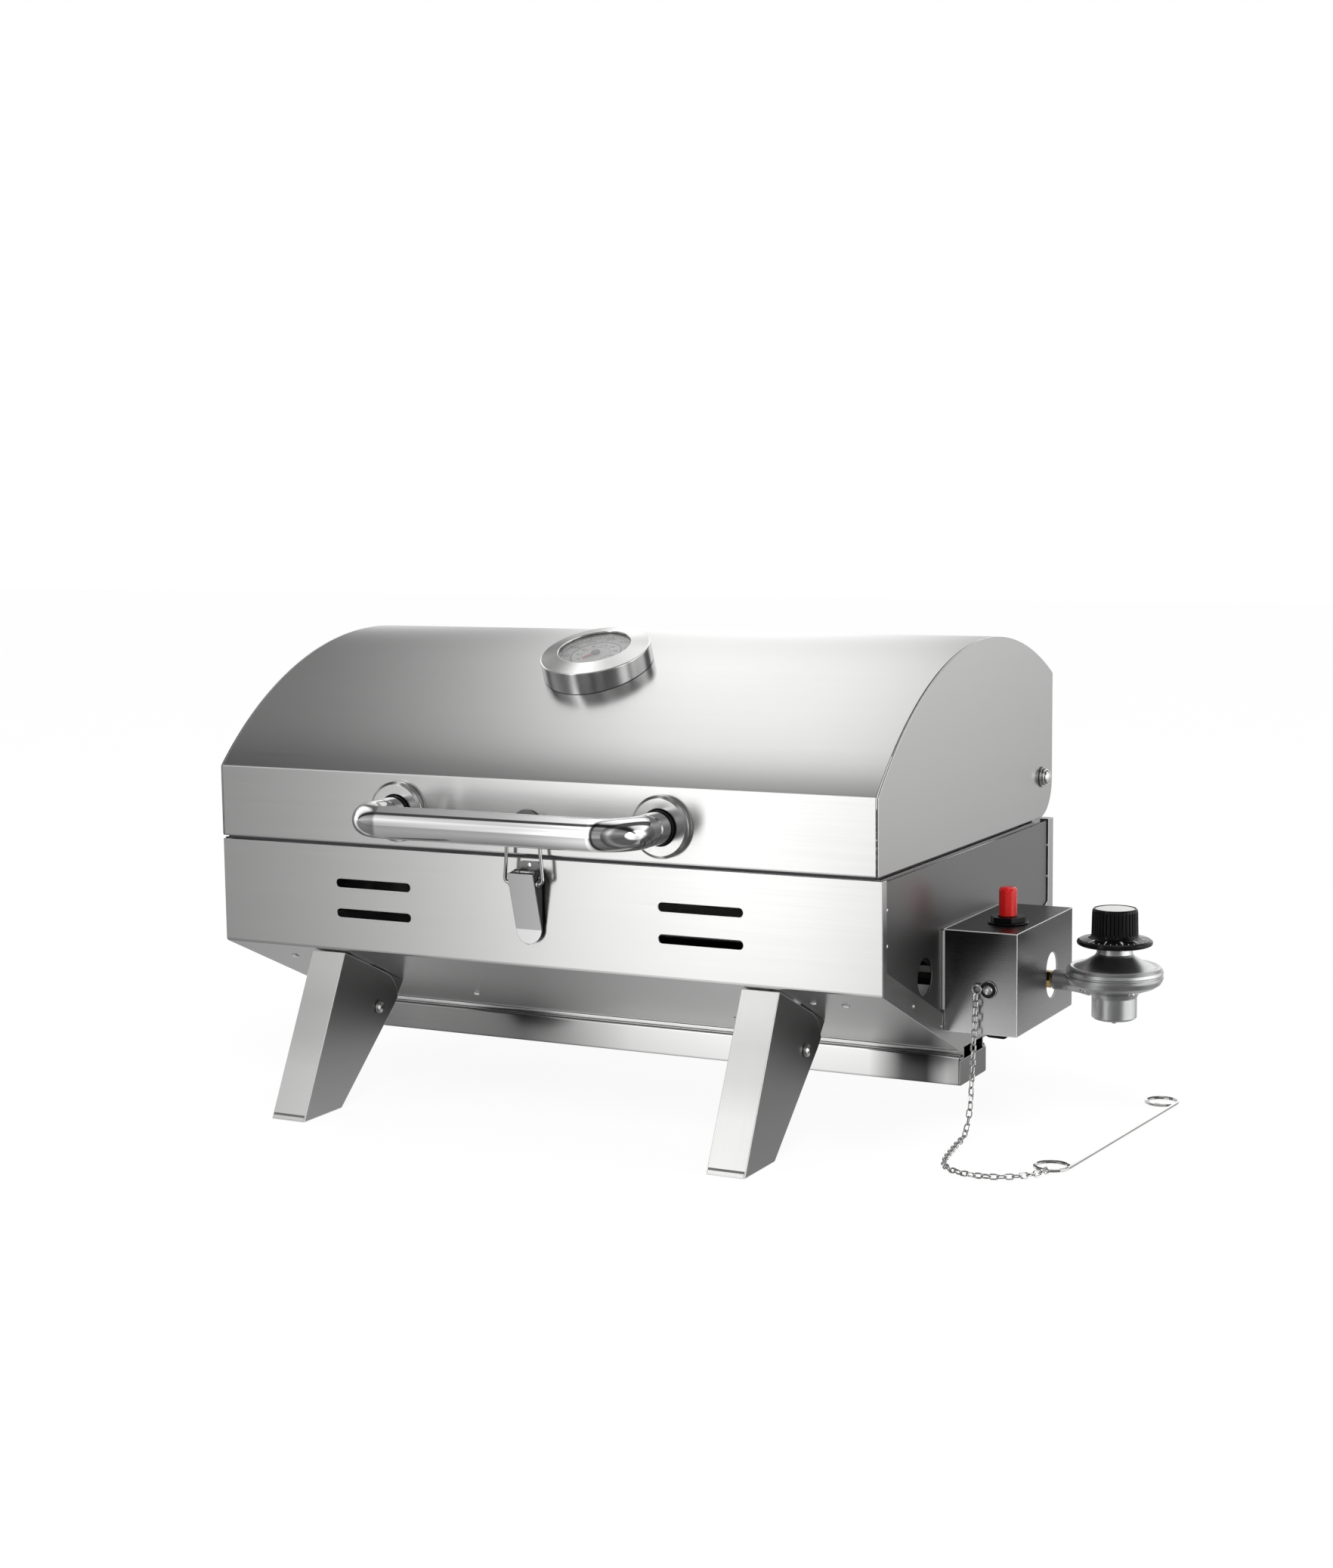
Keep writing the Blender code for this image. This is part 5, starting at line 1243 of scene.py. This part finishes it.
# Back: three panels behind the grill, out of sight of what faces forward.
BACK_SIDE = ((-1.0, 0.8), (-0.7, 0.9), (-0.63, 0.0), (-0.33, 0.0), (-0.25, 0.9), (0.14, 0.9),
             (0.22, 0.0), (0.52, 0.0), (0.6, 0.9), (1.0, 0.8))
BACK_ROUND = ((-180, 1.1), (-150, 0.8), (-115, 0.4), (-98, 0.0), (88, 0.0), (100, 0.8),
              (130, 1.3), (160, 1.4), (180, 1.1))


def soft_source(nodes, across, round_x, side_stops, round_stops):
    side = nodes.ramp(across, [((place + 1) / 2, grey) for place, grey in side_stops])
    around = nodes.ramp(round_x, [((place + 180) / 360, grey / LIGHT_SCALE)
                                  for place, grey in round_stops])
    return nodes.vector("MULTIPLY", side, around)


def make_world():
    world = bpy.data.worlds.new("studio")
    world.use_nodes = True
    bpy.context.scene.world = world
    nodes = Nodes(world.node_tree)
    back = world.node_tree.nodes["Background"]
    x, y, z = nodes.add("SeparateXYZ", Vector=nodes.place("Generated")).outputs
    across = nodes.between(x, 0.0, 1.0, -1.0, 1.0)
    height = nodes.math("ARCTAN2", z, nodes.math("MULTIPLY", y, -1.0))
    round_x = nodes.between(height, 0.0, 1.0, -pi, pi)
    light = soft_source(nodes, across, round_x, FILL_SIDE, FILL_ROUND)
    for stops in ((KEY_SIDE, KEY_ROUND), (BACK_SIDE, BACK_ROUND)):
        light = nodes.vector("ADD", light, soft_source(nodes, across, round_x, *stops))
    light = nodes.vector("MULTIPLY", light, (LIGHT_SCALE,) * 3)
    seen = nodes.add("LightPath").outputs["Is Camera Ray"]
    nodes.put(back.inputs["Color"], nodes.mix("RGBA", seen, light, (1.0, 1.0, 1.0, 1.0)))
    back.inputs["Strength"].default_value = 1.0


def make_lamp():
    """A broad soft lamp that lights dull materials and leaves no mark in the polished ones."""
    data = bpy.data.lights.new("soft_lamp", "AREA")
    data.shape = "DISK"
    data.size = 1.6
    data.energy = 34.0
    lamp = linked("soft_lamp", data)
    lamp.location = (0.9, -1.6, 2.2)
    lamp.rotation_euler = (-lamp.location).to_track_quat("-Z", "Y").to_euler()
    lamp.visible_glossy = False
    lamp.visible_transmission = False


def make_camera():
    yaw, pitch, roll = radians(-27.291), radians(-6.790), radians(-0.643)
    ahead = Vector((sin(yaw) * cos(pitch), cos(yaw) * cos(pitch), sin(pitch)))
    level = ahead.cross(Vector(UP)).normalized()
    upright = level.cross(ahead)
    right = level * cos(roll) + upright * sin(roll)
    up = upright * cos(roll) - level * sin(roll)
    data = bpy.data.cameras.new("camera")
    data.lens = 57.213
    data.sensor_width = 36.0
    camera = linked("camera", data)
    axes = Matrix((right, up, -ahead)).transposed().to_4x4()
    place = CENTRE + Vector((0.92435, -1.75398, 0.47583))
    camera.matrix_world = Matrix.Translation(place) @ axes
    bpy.context.scene.camera = camera


make_camera()
make_grill()
make_floor()
make_world()
make_lamp()
bpy.context.scene.view_settings.view_transform = "Standard"
